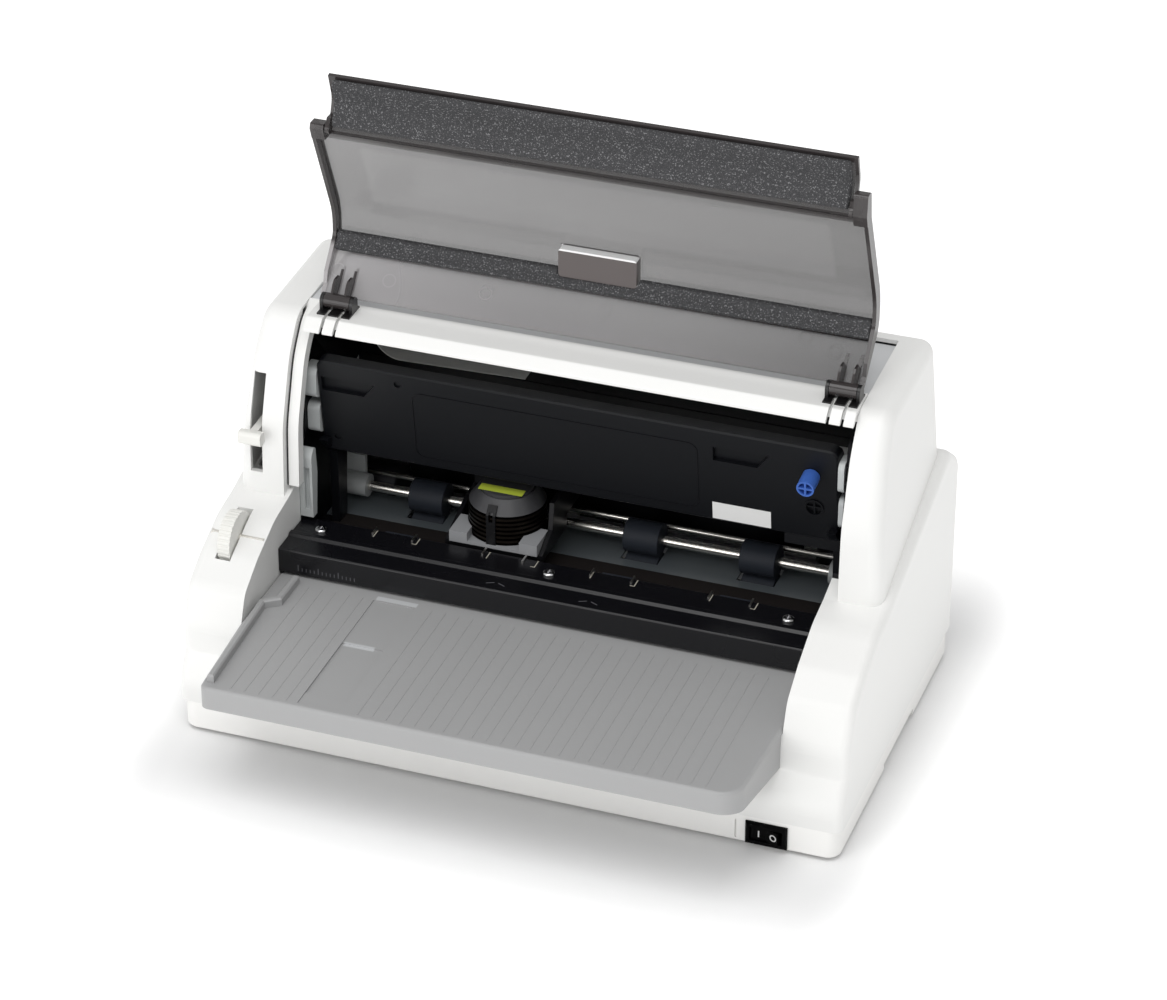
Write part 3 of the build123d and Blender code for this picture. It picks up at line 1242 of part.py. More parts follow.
with BuildPart() as ac_inlet:
    with Locations((INLET_X, BACK + FIT / 2 + 1, INLET_Z)):
        Box(INLET_FLANGE[0], 2 - FIT, INLET_FLANGE[1])
    fillet(ac_inlet.edges().filter_by(Axis.Y), 2)
    inlet_x = (INLET_X - INLET_HOLE[0] / 2 + 0.2, INLET_X + INLET_HOLE[0] / 2 - 0.2)
    inlet_z = (INLET_Z - INLET_HOLE[1] / 2 + 0.2, INLET_Z + INLET_HOLE[1] / 2 - 0.2)
    bar(inlet_x, (BACK - 17, BACK + 1), inlet_z)
    with BuildSketch(Plane.XZ.offset(-BACK - 3)):
        with BuildLine():
            Polyline(
                (INLET_X - 12, INLET_Z - 8),
                (INLET_X + 12, INLET_Z - 8),
                (INLET_X + 12, INLET_Z + 3),
                (INLET_X + 7, INLET_Z + 8),
                (INLET_X - 7, INLET_Z + 8),
                (INLET_X - 12, INLET_Z + 3),
                close=True,
            )
        make_face()
    extrude(amount=18, mode=Mode.SUBTRACT)
    for pin_x, pin_z in ((-7, -2.5), (0, 2), (7, -2.5)):
        with Locations((INLET_X + pin_x, BACK - 7, INLET_Z + pin_z)):
            Box(2.0, 17, 4.0)

with BuildPart() as data_sockets:
    for port_x, hole in ((PORT_X, PORT_HOLE), (SERIAL_X, SERIAL_HOLE)):
        with Locations((port_x, inside_back - FIT - 6, INLET_Z)):
            Box(hole[0] + 8, 12, hole[1] + 4)
        with Locations((port_x, inside_back - 1, INLET_Z)):
            Box(hole[0] - 1, 7, hole[1] - 1)
        with Locations((port_x, inside_back, INLET_Z)):
            Box(hole[0] - 4, 8, hole[1] - 4, mode=Mode.SUBTRACT)
        with Locations((port_x, inside_back - 1.5, INLET_Z)):
            Box(hole[0] - 9, 6, hole[1] - 8.4)

# power switch
SWITCH_TILT = -8.0
SLEEVE_T = 0.9
SLEEVE_D = 12.0
ROCKER_HALF = 8.0
ROCKER_H = 4.0
ROCKER_PIN_R = 1.2
pivot_y = FRONT + 3.8
sleeve_x = SWITCH_HOLE[0] / 2 - 0.2
sleeve_z = SWITCH_HOLE[1] / 2 - 0.2
with BuildPart() as switch_bezel:
    with Locations((SWITCH_X, FRONT - 1.1 - FIT / 4, SWITCH_Z)):
        Box(BEZEL[0], 2.2 - FIT / 2, BEZEL[1])
    chamfer(switch_bezel.faces().sort_by(Axis.Y)[0].edges(), 1.0)
    bar((SWITCH_X - sleeve_x, SWITCH_X + sleeve_x), (FRONT - 1, FRONT + SLEEVE_D), (SWITCH_Z - sleeve_z, SWITCH_Z + sleeve_z))
    bar(
        (SWITCH_X - sleeve_x + SLEEVE_T, SWITCH_X + sleeve_x - SLEEVE_T),
        (FRONT - 5, FRONT + SLEEVE_D - 1),
        (SWITCH_Z - ROCKER_H - FIT, SWITCH_Z + ROCKER_H + FIT),
        Mode.SUBTRACT,
    )
    post(SWITCH_X, pivot_y, (SWITCH_Z - sleeve_z + 0.3, SWITCH_Z + sleeve_z - 0.3), ROCKER_PIN_R + RUN, Mode.SUBTRACT)

with BuildPart() as power_rocker:
    tilt = math.radians(SWITCH_TILT)
    rocker_plane = Plane(
        origin=(SWITCH_X, pivot_y, SWITCH_Z - ROCKER_H),
        x_dir=(math.cos(tilt), math.sin(tilt), 0),
        z_dir=(0, 0, 1),
    )
    with BuildSketch(rocker_plane):
        with BuildLine():
            Polyline(
                (-ROCKER_HALF, -6.2),
                (0, -4.9),
                (ROCKER_HALF, -6.2),
                (ROCKER_HALF, -3.5),
                (3.5, 2.6),
                (-3.5, 2.6),
                (-ROCKER_HALF, -3.5),
                close=True,
            )
        make_face()
    extrude(amount=2 * ROCKER_H)
    post(SWITCH_X, pivot_y, (SWITCH_Z - sleeve_z + 0.5, SWITCH_Z + sleeve_z - 0.5), ROCKER_PIN_R)

# ================================================================ lever and wheel on the left
LEVER_AT = (190.0, 158.0)    # pivot: behind the front, height
LEVER_X = (-LOWER_X + 14.5, -LOWER_X + 19.0)   # the arm
LEVER_PIN_R = 3.0
KNOB_SETS = (75.0, 82.0)
KNOB_Z = (150.0, 159.0)
LEVER_KNOB_X = (-LOWER_X + 9.5, -LOWER_X + 23.5)
LEVER_SLOT_Z = (129.0, 189.0)
lever_y = FRONT + LEVER_AT[0]
lever_mid = (KNOB_Z[0] + KNOB_Z[1]) / 2
with BuildPart() as gap_lever:
    rod((LEVER_X[0] - 2, LEVER_X[1] + 2.5), lever_y, LEVER_AT[1], 7.0)
    slab(
        [
            (FRONT + KNOB_SETS[0] + 2, lever_mid - 2.4),
            (lever_y, LEVER_AT[1] - 4),
            (lever_y, LEVER_AT[1] + 4),
            (FRONT + KNOB_SETS[0] + 2, lever_mid + 2.4),
        ],
        LEVER_X,
    )
    rod((LEVER_X[0] - 3, LEVER_X[1] + 3.5), lever_y, LEVER_AT[1], LEVER_PIN_R + RUN, Mode.SUBTRACT)
    knob_corners = [
        (FRONT + KNOB_SETS[0], KNOB_Z[0], 2.5),
        (FRONT + KNOB_SETS[1], KNOB_Z[0] + 1, 1.5),
        (FRONT + KNOB_SETS[1], KNOB_Z[1] - 1, 1.5),
        (FRONT + KNOB_SETS[0], KNOB_Z[1], 2.5),
    ]
    round_slab(knob_corners, LEVER_KNOB_X)

WHEEL_AT = (50.0, 104.0)     # axis: behind the front, height
WHEEL_R = 16.0
WHEEL_X = (-LOWER_X + 12.5, -LOWER_X + 20.0)
WHEEL_PIN_R = 3.0
WHEEL_TEETH = 32
POCKET_X = (WHEEL_X[0] - 1, WHEEL_X[1] + 1)
POCKET_SETS = (32.5, 67.5)
POCKET_LOW = WHEEL_AT[1] - 11.5
AXLE_X = (-LOWER_X + WALL + FIT, CHEEK_LEFT - 1.3)
wheel_y = FRONT + WHEEL_AT[0]
wheel_plane = Plane(origin=(WHEEL_X[0], wheel_y, WHEEL_AT[1]), x_dir=(0, 1, 0), z_dir=(1, 0, 0))
with BuildPart() as thumb_wheel:
    with BuildSketch(wheel_plane):
        Circle(WHEEL_R)
        with PolarLocations(WHEEL_R + 0.3, WHEEL_TEETH):
            Circle(0.9, mode=Mode.SUBTRACT)
        Circle(WHEEL_PIN_R + RUN, mode=Mode.SUBTRACT)
    extrude(amount=WHEEL_X[1] - WHEEL_X[0])

with BuildPart() as wheel_axle:
    rod(AXLE_X, wheel_y, WHEEL_AT[1], WHEEL_PIN_R)

with lower_casing:
    rod((AXLE_X[0] - FIT, AXLE_X[1] + FIT), wheel_y, WHEEL_AT[1], WHEEL_PIN_R + RUN, Mode.SUBTRACT)
    bar(
        POCKET_X,
        (FRONT + POCKET_SETS[0], FRONT + POCKET_SETS[1]),
        (POCKET_LOW, WHEEL_AT[1] + WHEEL_R + 10),
        Mode.SUBTRACT,
    )

with upper_casing:
    slot_x = (LEVER_X[0] - 1.5, LEVER_X[1] + 1.5)
    bar(slot_x, (FRONT + PLATEAU_SET - 3, FRONT + PLATEAU_SET + 24), LEVER_SLOT_Z, Mode.SUBTRACT)
    rod((LEVER_X[0] - 3, OPEN_LEFT - WALL + 1), lever_y, LEVER_AT[1], LEVER_PIN_R)

# ================================================================ cover
PANEL_RUN = [
    (FRONT + 127.0, 228.8, 0),
    (FRONT + 152.0, 253.5, 12),
    (FRONT + 152.5, 272.0, 40),
    (FRONT + 127.5, 331.0, 0),
]
LIP_T = 2.2
BARREL_R = 4.2
HINGE_PIN_R = 1.5
BRACKET_HALF_W = 10.0
FLAP_SET = 124.5          # flap hinge axis
FLAP_Z = 336.0
FLAP_PIN_R = 1.5
FLAP_X = (-148.0, 158.0)
FLAP_T = 2.2
EAR_W = 8.0
GRIP_X = (-19.0, 27.5)
GRIP_Z = (254.5, 272.0)
GRIP_SET = 146.5
GRIP_T = 1.5
hinge_y = FRONT + HINGE_SET
flap_y = FRONT + FLAP_SET
grip_back = FRONT + GRIP_SET + 7.1

with BuildPart() as cover_panel:
    round_slab(sheet_corners(PANEL_RUN, 0, COVER_T), (COVER_LEFT, COVER_RIGHT))
    lip = [
        (FRONT + 131.0, 233.0, 0),
        (FRONT + 152.3, 253.4, 12),
        (FRONT + 152.8, 272.0, 40),
        (FRONT + 127.9, 331.0, 0),
        (FRONT + 122.9, 329.0, 0),
        (FRONT + 147.5, 271.0, 38),
        (FRONT + 147.2, 257.0, 8),
        (FRONT + 133.0, 240.0, 0),
    ]
    for lip_x in ((COVER_LEFT, COVER_LEFT + LIP_T), (COVER_RIGHT - LIP_T, COVER_RIGHT)):
        round_slab(lip, lip_x)
    for ear_x, ear_top, ear_r in (
        ((COVER_LEFT, FLAP_X[0] - 0.5), FLAP_Z + 3.2, 1),
        ((FLAP_X[1] + 0.5, COVER_RIGHT), FLAP_Z + 12.5, 2),
    ):
        ear = [
            (FRONT + 127.4, 329.0, 0),
            (FRONT + 129.9, 330.0, 0),
            (FRONT + 127.5, ear_top, ear_r),
            (FRONT + 121.0, ear_top, ear_r),
            (FRONT + 120.0, FLAP_Z, ear_r),
            (FRONT + 122.5, 329.0, 0),
        ]
        round_slab(ear, ear_x)
        rod((ear_x[0] + 2, ear_x[1] - 2), flap_y, FLAP_Z, 1.0)
    for middle in HINGE_XS:
        rod((middle - BARREL_HALF, middle + BARREL_HALF), hinge_y, HINGE_Z, BARREL_R)
        fin = [
            (hinge_y, HINGE_Z + BARREL_R),
            (hinge_y + 3, HINGE_Z + 9),
            (hinge_y + 5.5, HINGE_Z + 10.9),
            (hinge_y + 10.5, HINGE_Z + 10.9),
            (hinge_y + 14, HINGE_Z + 7),
            (hinge_y + 6.5, HINGE_Z - 0.4),
            (hinge_y + 2, HINGE_Z - 1.5),
            (hinge_y, HINGE_Z - 1.5),
        ]
        for offset in FIN_OFFSETS:
            slab(fin, (middle + offset - FIN_T / 2, middle + offset + FIN_T / 2))
        rod(
            (middle - BARREL_HALF - 1, middle + BARREL_HALF + 1),
            hinge_y,
            HINGE_Z,
            HINGE_PIN_R + RUN,
            Mode.SUBTRACT,
        )
    # holes for the flap's pins and for the grip cup
    rod((FLAP_X[0] - 4, FLAP_X[0]), flap_y, FLAP_Z, FLAP_PIN_R + RUN, Mode.SUBTRACT)
    rod((FLAP_X[1], FLAP_X[1] + 4), flap_y, FLAP_Z, FLAP_PIN_R + RUN, Mode.SUBTRACT)
    bar(
        (GRIP_X[0] - FIT, GRIP_X[1] + FIT),
        (FRONT + GRIP_SET, grip_back + 6.4),
        (GRIP_Z[0] - FIT, GRIP_Z[1] + FIT),
        Mode.SUBTRACT,
    )

with BuildPart() as cover_grip:
    bar(GRIP_X, (FRONT + GRIP_SET, grip_back), GRIP_Z)
    fillet(cover_grip.edges().filter_by(Axis.Y), 2.0)
    bar(
        (GRIP_X[0] + GRIP_T, GRIP_X[1] - GRIP_T),
        (FRONT + GRIP_SET + GRIP_T, grip_back + 1),
        (GRIP_Z[0] + GRIP_T, GRIP_Z[1] - GRIP_T),
        Mode.SUBTRACT,
    )

# foam strips inside the cover and the flap
FOAM_T = 4.7
FOAM_X = (-154.0, 164.0)
FLAP_FOAM_X = (-145.0, 155.0)
with BuildPart() as cover_foam:
    foam_run = [
        (FRONT + 145.6, 247.18, 0),
        (FRONT + 152.0, 253.5, 12),
        (FRONT + 152.1, 258.6, 0),
    ]
    round_slab(sheet_corners(foam_run, -FIT, -FIT - FOAM_T), FOAM_X)
    bar(
        (GRIP_X[0] - 2 * FIT, GRIP_X[1] + 2 * FIT),
        (FRONT + GRIP_SET - FIT, grip_back + 6.4),
        (GRIP_Z[0] - 2 * FIT, GRIP_Z[1]),
        Mode.SUBTRACT,
    )
    # the strip comes in three lengths that butt at the ends of this notch
    for cut_x in (GRIP_X[0] - 2 * FIT, GRIP_X[1] + FIT):
        bar((cut_x, cut_x + FIT), (hinge_y, grip_back), (HINGE_Z, GRIP_Z[1]), Mode.SUBTRACT)

flap_run = [
    (FRONT + 124.8, 333.2, 0),
    (FRONT + 130.5, 343.0, 6),
    (FRONT + 133.2, 351.0, 12),
    (FRONT + 128.6, 366.0, 0),
]
with BuildPart() as cover_flap:
    round_slab(sheet_corners(flap_run, 0, FLAP_T), FLAP_X)
    for lug_x in ((FLAP_X[0], FLAP_X[0] + 2.5), (FLAP_X[1] - 2.5, FLAP_X[1])):
        rod(lug_x, flap_y, FLAP_Z, 3.4)
        slab(
            [
                (flap_y, FLAP_Z - 2),
                (flap_y + 3, FLAP_Z + 1),
                (flap_y + 5.5, FLAP_Z + 6),
                (flap_y + 0.5, FLAP_Z + 6),
                (flap_y - 2.5, FLAP_Z + 1),
            ],
            lug_x,
        )
    rod((FLAP_X[0] - 3.5, FLAP_X[0] + 1), flap_y, FLAP_Z, FLAP_PIN_R)
    rod((FLAP_X[1] - 1, FLAP_X[1] + 3.5), flap_y, FLAP_Z, FLAP_PIN_R)

with BuildPart() as flap_foam:
    flap_foam_run = [
        (FRONT + 126.43, 336.0, 0),
        (FRONT + 130.5, 343.0, 6),
        (FRONT + 133.2, 351.0, 12),
        (FRONT + 128.91, 365.0, 0),
    ]
    round_slab(sheet_corners(flap_foam_run, -FIT, -FIT - FOAM_T), FLAP_FOAM_X)

PLATE_THIN = 1.0
with BuildPart() as hinge_brackets:
    for middle in HINGE_XS:
        bar(
            (middle - BRACKET_HALF_W, middle + BRACKET_HALF_W),
            (bar_front + 9.5, hinge_y + 7),
            (BAR_TOP, BAR_TOP + PLATE_THIN),
        )
        for side in (-1, 1):
            near = middle + side * (BARREL_HALF + FIT)
            ear_x = sorted((near, near + side * EAR_T))
            rod(ear_x, hinge_y, HINGE_Z, BARREL_R)
            bar(ear_x, (hinge_y - BARREL_R, hinge_y + BARREL_R), (BAR_TOP, HINGE_Z))
        rod(
            (middle - BARREL_HALF - 1, middle + BARREL_HALF + 1),
            hinge_y,
            HINGE_Z,
            HINGE_PIN_R,
        )
        for offset in FIN_OFFSETS:
            bar(
                (middle + offset - FIN_SLOT / 2, middle + offset + FIN_SLOT / 2),
                (bar_front - 1, hinge_y + 2.0),
                (BAR_TOP - 1, BAR_TOP + PLATE_THIN + 0.1),
                Mode.SUBTRACT,
            )

# ================================================================ files, one for each node
base_tray.part.label = "base_tray"
export_step(base_tray.part, "parts/base_tray.step")
rubber_feet.part.label = "rubber_feet"
export_step(rubber_feet.part, "parts/rubber_feet.step")
lower_casing.part.label = "lower_casing"
export_step(lower_casing.part, "parts/lower_casing.step")
upper_casing.part.label = "upper_casing"
export_step(upper_casing.part, "parts/upper_casing.step")
hinge_bar.part.label = "hinge_bar"
export_step(hinge_bar.part, "parts/hinge_bar.step")
top_inset_panel.part.label = "top_inset_panel"
export_step(top_inset_panel.part, "parts/top_inset_panel.step")
paper_table.part.label = "paper_table"
export_step(paper_table.part, "parts/paper_table.step")
edge_guide.part.label = "edge_guide"
export_step(edge_guide.part, "parts/edge_guide.step")
front_guide_rail.part.label = "front_guide_rail"
export_step(front_guide_rail.part, "parts/front_guide_rail.step")
rail_screws.part.label = "rail_screws"
export_step(rail_screws.part, "parts/rail_screws.step")
rear_upper_shaft.part.label = "rear_upper_shaft"
export_step(rear_upper_shaft.part, "parts/rear_upper_shaft.step")
rear_upper_rollers.part.label = "rear_upper_rollers"
export_step(rear_upper_rollers.part, "parts/rear_upper_rollers.step")
rear_lower_shaft.part.label = "rear_lower_shaft"
export_step(rear_lower_shaft.part, "parts/rear_lower_shaft.step")
rear_lower_rollers.part.label = "rear_lower_rollers"
export_step(rear_lower_rollers.part, "parts/rear_lower_rollers.step")
front_lower_shaft.part.label = "front_lower_shaft"
export_step(front_lower_shaft.part, "parts/front_lower_shaft.step")
front_lower_rollers.part.label = "front_lower_rollers"
export_step(front_lower_rollers.part, "parts/front_lower_rollers.step")
pinch_rollers.part.label = "pinch_rollers"
export_step(pinch_rollers.part, "parts/pinch_rollers.step")
roller_clips.part.label = "roller_clips"
export_step(roller_clips.part, "parts/roller_clips.step")
front_guide_plate.part.label = "front_guide_plate"
export_step(front_guide_plate.part, "parts/front_guide_plate.step")
rear_guide_plate.part.label = "rear_guide_plate"
export_step(rear_guide_plate.part, "parts/rear_guide_plate.step")
platen_bar.part.label = "platen_bar"
export_step(platen_bar.part, "parts/platen_bar.step")
chassis_pan.part.label = "chassis_pan"
export_step(chassis_pan.part, "parts/chassis_pan.step")
side_frame_left.part.label = "side_frame_left"
export_step(side_frame_left.part, "parts/side_frame_left.step")
side_frame_right.part.label = "side_frame_right"
export_step(side_frame_right.part, "parts/side_frame_right.step")
carriage_shaft.part.label = "carriage_shaft"
export_step(carriage_shaft.part, "parts/carriage_shaft.step")
shaft_bushes.part.label = "shaft_bushes"
export_step(shaft_bushes.part, "parts/shaft_bushes.step")
idler_gear.part.label = "idler_gear"
export_step(idler_gear.part, "parts/idler_gear.step")
motor_pinion.part.label = "motor_pinion"
export_step(motor_pinion.part, "parts/motor_pinion.step")
feed_motor.part.label = "feed_motor"
export_step(feed_motor.part, "parts/feed_motor.step")
print_head.part.label = "print_head"
export_step(print_head.part, "parts/print_head.step")
head_cap.part.label = "head_cap"
export_step(head_cap.part, "parts/head_cap.step")
head_clip.part.label = "head_clip"
export_step(head_clip.part, "parts/head_clip.step")
carriage.part.label = "carriage"
export_step(carriage.part, "parts/carriage.step")
head_bracket.part.label = "head_bracket"
export_step(head_bracket.part, "parts/head_bracket.step")
rear_rail.part.label = "rear_rail"
export_step(rear_rail.part, "parts/rear_rail.step")
idler_pulley.part.label = "idler_pulley"
export_step(idler_pulley.part, "parts/idler_pulley.step")
drive_pulley.part.label = "drive_pulley"
export_step(drive_pulley.part, "parts/drive_pulley.step")
carriage_motor.part.label = "carriage_motor"
export_step(carriage_motor.part, "parts/carriage_motor.step")
carriage_belt.part.label = "carriage_belt"
export_step(carriage_belt.part, "parts/carriage_belt.step")
ribbon_cartridge.part.label = "ribbon_cartridge"
export_step(ribbon_cartridge.part, "parts/ribbon_cartridge.step")
ribbon_knob.part.label = "ribbon_knob"
export_step(ribbon_knob.part, "parts/ribbon_knob.step")
ribbon_band.part.label = "ribbon_band"
export_step(ribbon_band.part, "parts/ribbon_band.step")
cartridge_holders.part.label = "cartridge_holders"
export_step(cartridge_holders.part, "parts/cartridge_holders.step")
release_bracket.part.label = "release_bracket"
export_step(release_bracket.part, "parts/release_bracket.step")
flex_cable.part.label = "flex_cable"
export_step(flex_cable.part, "parts/flex_cable.step")
main_board.part.label = "main_board"
export_step(main_board.part, "parts/main_board.step")
power_supply.part.label = "power_supply"
export_step(power_supply.part, "parts/power_supply.step")
ac_inlet.part.label = "ac_inlet"
export_step(ac_inlet.part, "parts/ac_inlet.step")
data_sockets.part.label = "data_sockets"
export_step(data_sockets.part, "parts/data_sockets.step")
switch_bezel.part.label = "switch_bezel"
export_step(switch_bezel.part, "parts/switch_bezel.step")
power_rocker.part.label = "power_rocker"
export_step(power_rocker.part, "parts/power_rocker.step")
gap_lever.part.label = "gap_lever"
export_step(gap_lever.part, "parts/gap_lever.step")
thumb_wheel.part.label = "thumb_wheel"
export_step(thumb_wheel.part, "parts/thumb_wheel.step")
wheel_axle.part.label = "wheel_axle"
export_step(wheel_axle.part, "parts/wheel_axle.step")
cover_panel.part.label = "cover_panel"
export_step(cover_panel.part, "parts/cover_panel.step")
cover_grip.part.label = "cover_grip"
export_step(cover_grip.part, "parts/cover_grip.step")
cover_foam.part.label = "cover_foam"
export_step(cover_foam.part, "parts/cover_foam.step")
cover_flap.part.label = "cover_flap"
export_step(cover_flap.part, "parts/cover_flap.step")
flap_foam.part.label = "flap_foam"
export_step(flap_foam.part, "parts/flap_foam.step")
hinge_brackets.part.label = "hinge_brackets"
export_step(hinge_brackets.part, "parts/hinge_brackets.step")
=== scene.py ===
# %% [markdown]
# # A flatbed dot matrix printer, dressed in Blender
# The printer's shape comes from its construction model: every casing, roller and gear is already
# there as a node of its own. This lesson gives those nodes their finishes, models the few soft
# and thin pieces that construction solids can't show, and sets a plain studio round them.
# We load the frame first.

# %% Load the frame
import bpy
import math
from mathutils import Matrix, Vector


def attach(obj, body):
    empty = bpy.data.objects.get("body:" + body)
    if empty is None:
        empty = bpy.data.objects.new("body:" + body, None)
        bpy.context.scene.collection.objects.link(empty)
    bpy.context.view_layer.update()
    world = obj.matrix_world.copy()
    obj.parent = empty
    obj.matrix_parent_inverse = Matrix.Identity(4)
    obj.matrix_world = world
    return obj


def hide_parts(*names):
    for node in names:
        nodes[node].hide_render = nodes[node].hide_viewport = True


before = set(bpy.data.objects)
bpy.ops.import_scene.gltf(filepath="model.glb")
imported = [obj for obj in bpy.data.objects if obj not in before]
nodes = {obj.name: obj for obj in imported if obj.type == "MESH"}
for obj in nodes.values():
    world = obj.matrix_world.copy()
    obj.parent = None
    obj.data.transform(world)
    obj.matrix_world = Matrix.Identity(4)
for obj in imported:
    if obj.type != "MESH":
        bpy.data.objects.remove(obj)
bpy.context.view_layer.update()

# %% [markdown]
# ## A ruler for the printer
# Depths inside a printer are easiest to give from the front of its base. The frame's origin lies
# below the middle, so one small helper turns such a depth in millimetres into a place in metres.

# %% Depth behind the front, in metres
FRONT = -0.114


def deep(millimetres):
    """The frame's Y, in metres, of a depth behind the front of the base."""
    return FRONT + millimetres / 1000


print("print line at", round(deep(130), 4))

# %% [markdown]
# ## Wiring shaders in code
# By hand, a shader is built by adding nodes and dragging wires between their sockets. In code the
# same few steps come again and again, so each gets a short name. The first helper fills the
# inputs of a node, with a wire or with a plain value, and the others are built on it.

# %% Helpers that add nodes
def fill(tree, made, inputs):
    """Fills inputs of a node: a socket is wired in, anything else is set as a value."""
    for key, value in inputs.items():
        if isinstance(value, bpy.types.NodeSocket):
            tree.links.new(value, made.inputs[key])
        else:
            made.inputs[key].default_value = value


def node(tree, kind, inputs, **settings):
    """Adds a node, sets its properties and fills its inputs."""
    made = tree.nodes.new(kind)
    for key, value in settings.items():
        setattr(made, key, value)
    fill(tree, made, inputs)
    return made


def maths(tree, operation, *operands):
    """The result of one Math node; each operand is a socket or a number."""
    return node(tree, "ShaderNodeMath", dict(enumerate(operands)), operation=operation).outputs[0]


def ramp(tree, value, low, high, start=0.0, end=1.0, kind="LINEAR"):
    """Goes from start to end while the value goes from low to high."""
    limits = {"Value": value, "From Min": low, "From Max": high, "To Min": start, "To Max": end}
    return node(tree, "ShaderNodeMapRange", limits, interpolation_type=kind).outputs[0]


print("materials at the start", len(bpy.data.materials))

# %% [markdown]
# A noise makes a surface uneven, a bump turns a height into a slanted normal, and a mix lays one
# colour over another. A new material starts with the Principled shader that Blender gives it.

# %% Helpers for materials
def noise(tree, vector, scale, detail=2.0):
    """Cloudy noise between 0 and 1."""
    inputs = {"Vector": vector, "Scale": scale, "Detail": detail}
    return node(tree, "ShaderNodeTexNoise", inputs).outputs["Fac"]


def bumped(tree, height, strength, distance):
    """The normal of a surface that follows a height."""
    inputs = {"Height": height, "Strength": strength, "Distance": distance}
    return node(tree, "ShaderNodeBump", inputs).outputs["Normal"]


def mixed(tree, factor, under, over):
    """A colour between two; each is a socket or its red, green and blue."""
    ends = [end if isinstance(end, bpy.types.NodeSocket) else (*end, 1) for end in (under, over)]
    inputs = {"Factor": factor, 6: ends[0], 7: ends[1]}
    return node(tree, "ShaderNodeMix", inputs, data_type="RGBA").outputs[2]


def new_material(name):
    """A new material, with its tree, its shader and its Object coordinates."""
    made = bpy.data.materials.new(name)
    made.use_nodes = True
    tree = made.node_tree
    place = node(tree, "ShaderNodeTexCoord", {}).outputs["Object"]
    return made, tree, tree.nodes["Principled BSDF"], place


def axes(tree, place):
    """The x, y and z of the coordinates."""
    return node(tree, "ShaderNodeSeparateXYZ", {0: place}).outputs


def painted(tree, place, paint, marks):
    """Lays each colour that a marks function gives over the paint, where its mask is."""
    if marks:
        for mask, over in marks(tree, *axes(tree, place)):
            paint = mixed(tree, mask, paint, over)
    return paint


print("helpers", [helper.__name__ for helper in (noise, bumped, mixed, new_material, painted)])

# %% [markdown]
# Marks that are thinner than any edge worth modelling are masks: 1 on the mark and 0 elsewhere,
# worked out from the coordinates. Their limits are a little soft, so they stay smooth close up.

# %% Helpers that make masks
def all_of(tree, *masks):
    """What several masks share."""
    shared = masks[0]
    for mask in masks[1:]:
        shared = maths(tree, "MULTIPLY", shared, mask)
    return shared


def any_of(tree, masks):
    """The largest of several masks at each point."""
    top = masks[0]
    for mask in masks[1:]:
        top = maths(tree, "MAXIMUM", top, mask)
    return top


def between(tree, value, low, high, soft):
    """1 inside low..high, falling to 0 over the soft width."""
    rise = ramp(tree, value, low - soft, low + soft, kind="SMOOTHSTEP")
    fall = ramp(tree, value, high - soft, high + soft, 1.0, 0.0, "SMOOTHSTEP")
    return all_of(tree, rise, fall)


def around(tree, value, middle, half, soft):
    """1 within half a width of a middle."""
    return between(tree, value, middle - half, middle + half, soft)


def patch(tree, x, y, x_range, y_range, soft):
    """1 inside a rectangle of two coordinates."""
    return all_of(tree, between(tree, x, *x_range, soft), between(tree, y, *y_range, soft))


def distance(tree, across, along):
    """How far a point is from where both coordinates are 0."""
    squares = [maths(tree, "MULTIPLY", side, side) for side in (across, along)]
    return maths(tree, "SQRT", maths(tree, "ADD", *squares))


print("masks", [helper.__name__ for helper in (between, around, patch, distance)])

# %% [markdown]
# ## Shared shader effects
# Moulded plastic is never one flat tone: the mould is spark-eroded, so the skin has a fine grain,
# and the colour drifts a little over a hand's width. Most materials use this skin, so it is one
# node group with inputs of its own. A group starts with its sockets, each with a value for when
# nothing is wired to it.

# %% Empty node groups
FLOAT = "NodeSocketFloat"
VECTOR = "NodeSocketVector"
COLOUR = "NodeSocketColor"


def new_group(name, inputs, outputs):
    """An empty shader group with named sockets."""
    group = bpy.data.node_groups.new(name, "ShaderNodeTree")
    for label, kind, value in inputs:
        socket = group.interface.new_socket(name=label, in_out="INPUT", socket_type=kind)
        if value is not None:
            socket.default_value = value
    for label, kind in outputs:
        group.interface.new_socket(name=label, in_out="OUTPUT", socket_type=kind)
    return group, group.nodes.new("NodeGroupInput"), group.nodes.new("NodeGroupOutput")


print("socket kinds", FLOAT, VECTOR, COLOUR)

# %% [markdown]
# Inside the group, a broad noise moves the tone and the roughness a little, and a fine one is the
# height of the grain. Object coordinates are metres in the printer's own frame, which keeps the
# grain the same size on every piece.

# %% The moulded skin: drift of tone, roughness and grain
skin, entry, leave = new_group(
    "moulded skin",
    [("Vector", VECTOR, None), ("Colour", COLOUR, (0.5, 0.5, 0.5, 1)), ("Drift", FLOAT, 0.04),
     ("Grain scale", FLOAT, 1400.0), ("Roughness", FLOAT, 0.4), ("Spread", FLOAT, 0.08)],
    [("Colour", COLOUR), ("Roughness", FLOAT), ("Height", FLOAT)],
)
given = entry.outputs
HANDS_WIDTH = 14.0  # the scale of a noise that changes over about 7 cm
broad = maths(skin, "SUBTRACT", noise(skin, given["Vector"], HANDS_WIDTH, detail=3.0), 0.5)
tone = maths(skin, "ADD", maths(skin, "MULTIPLY", broad, given["Drift"]), 1.0)
tinted = node(skin, "ShaderNodeVectorMath", {0: given["Colour"], "Scale": tone}, operation="SCALE")
fill(skin, leave, {
    "Colour": tinted.outputs[0],
    "Roughness": maths(skin, "MULTIPLY_ADD", broad, given["Spread"], given["Roughness"]),
    "Height": noise(skin, given["Vector"], given["Grain scale"]),
})
print("group", skin.name)
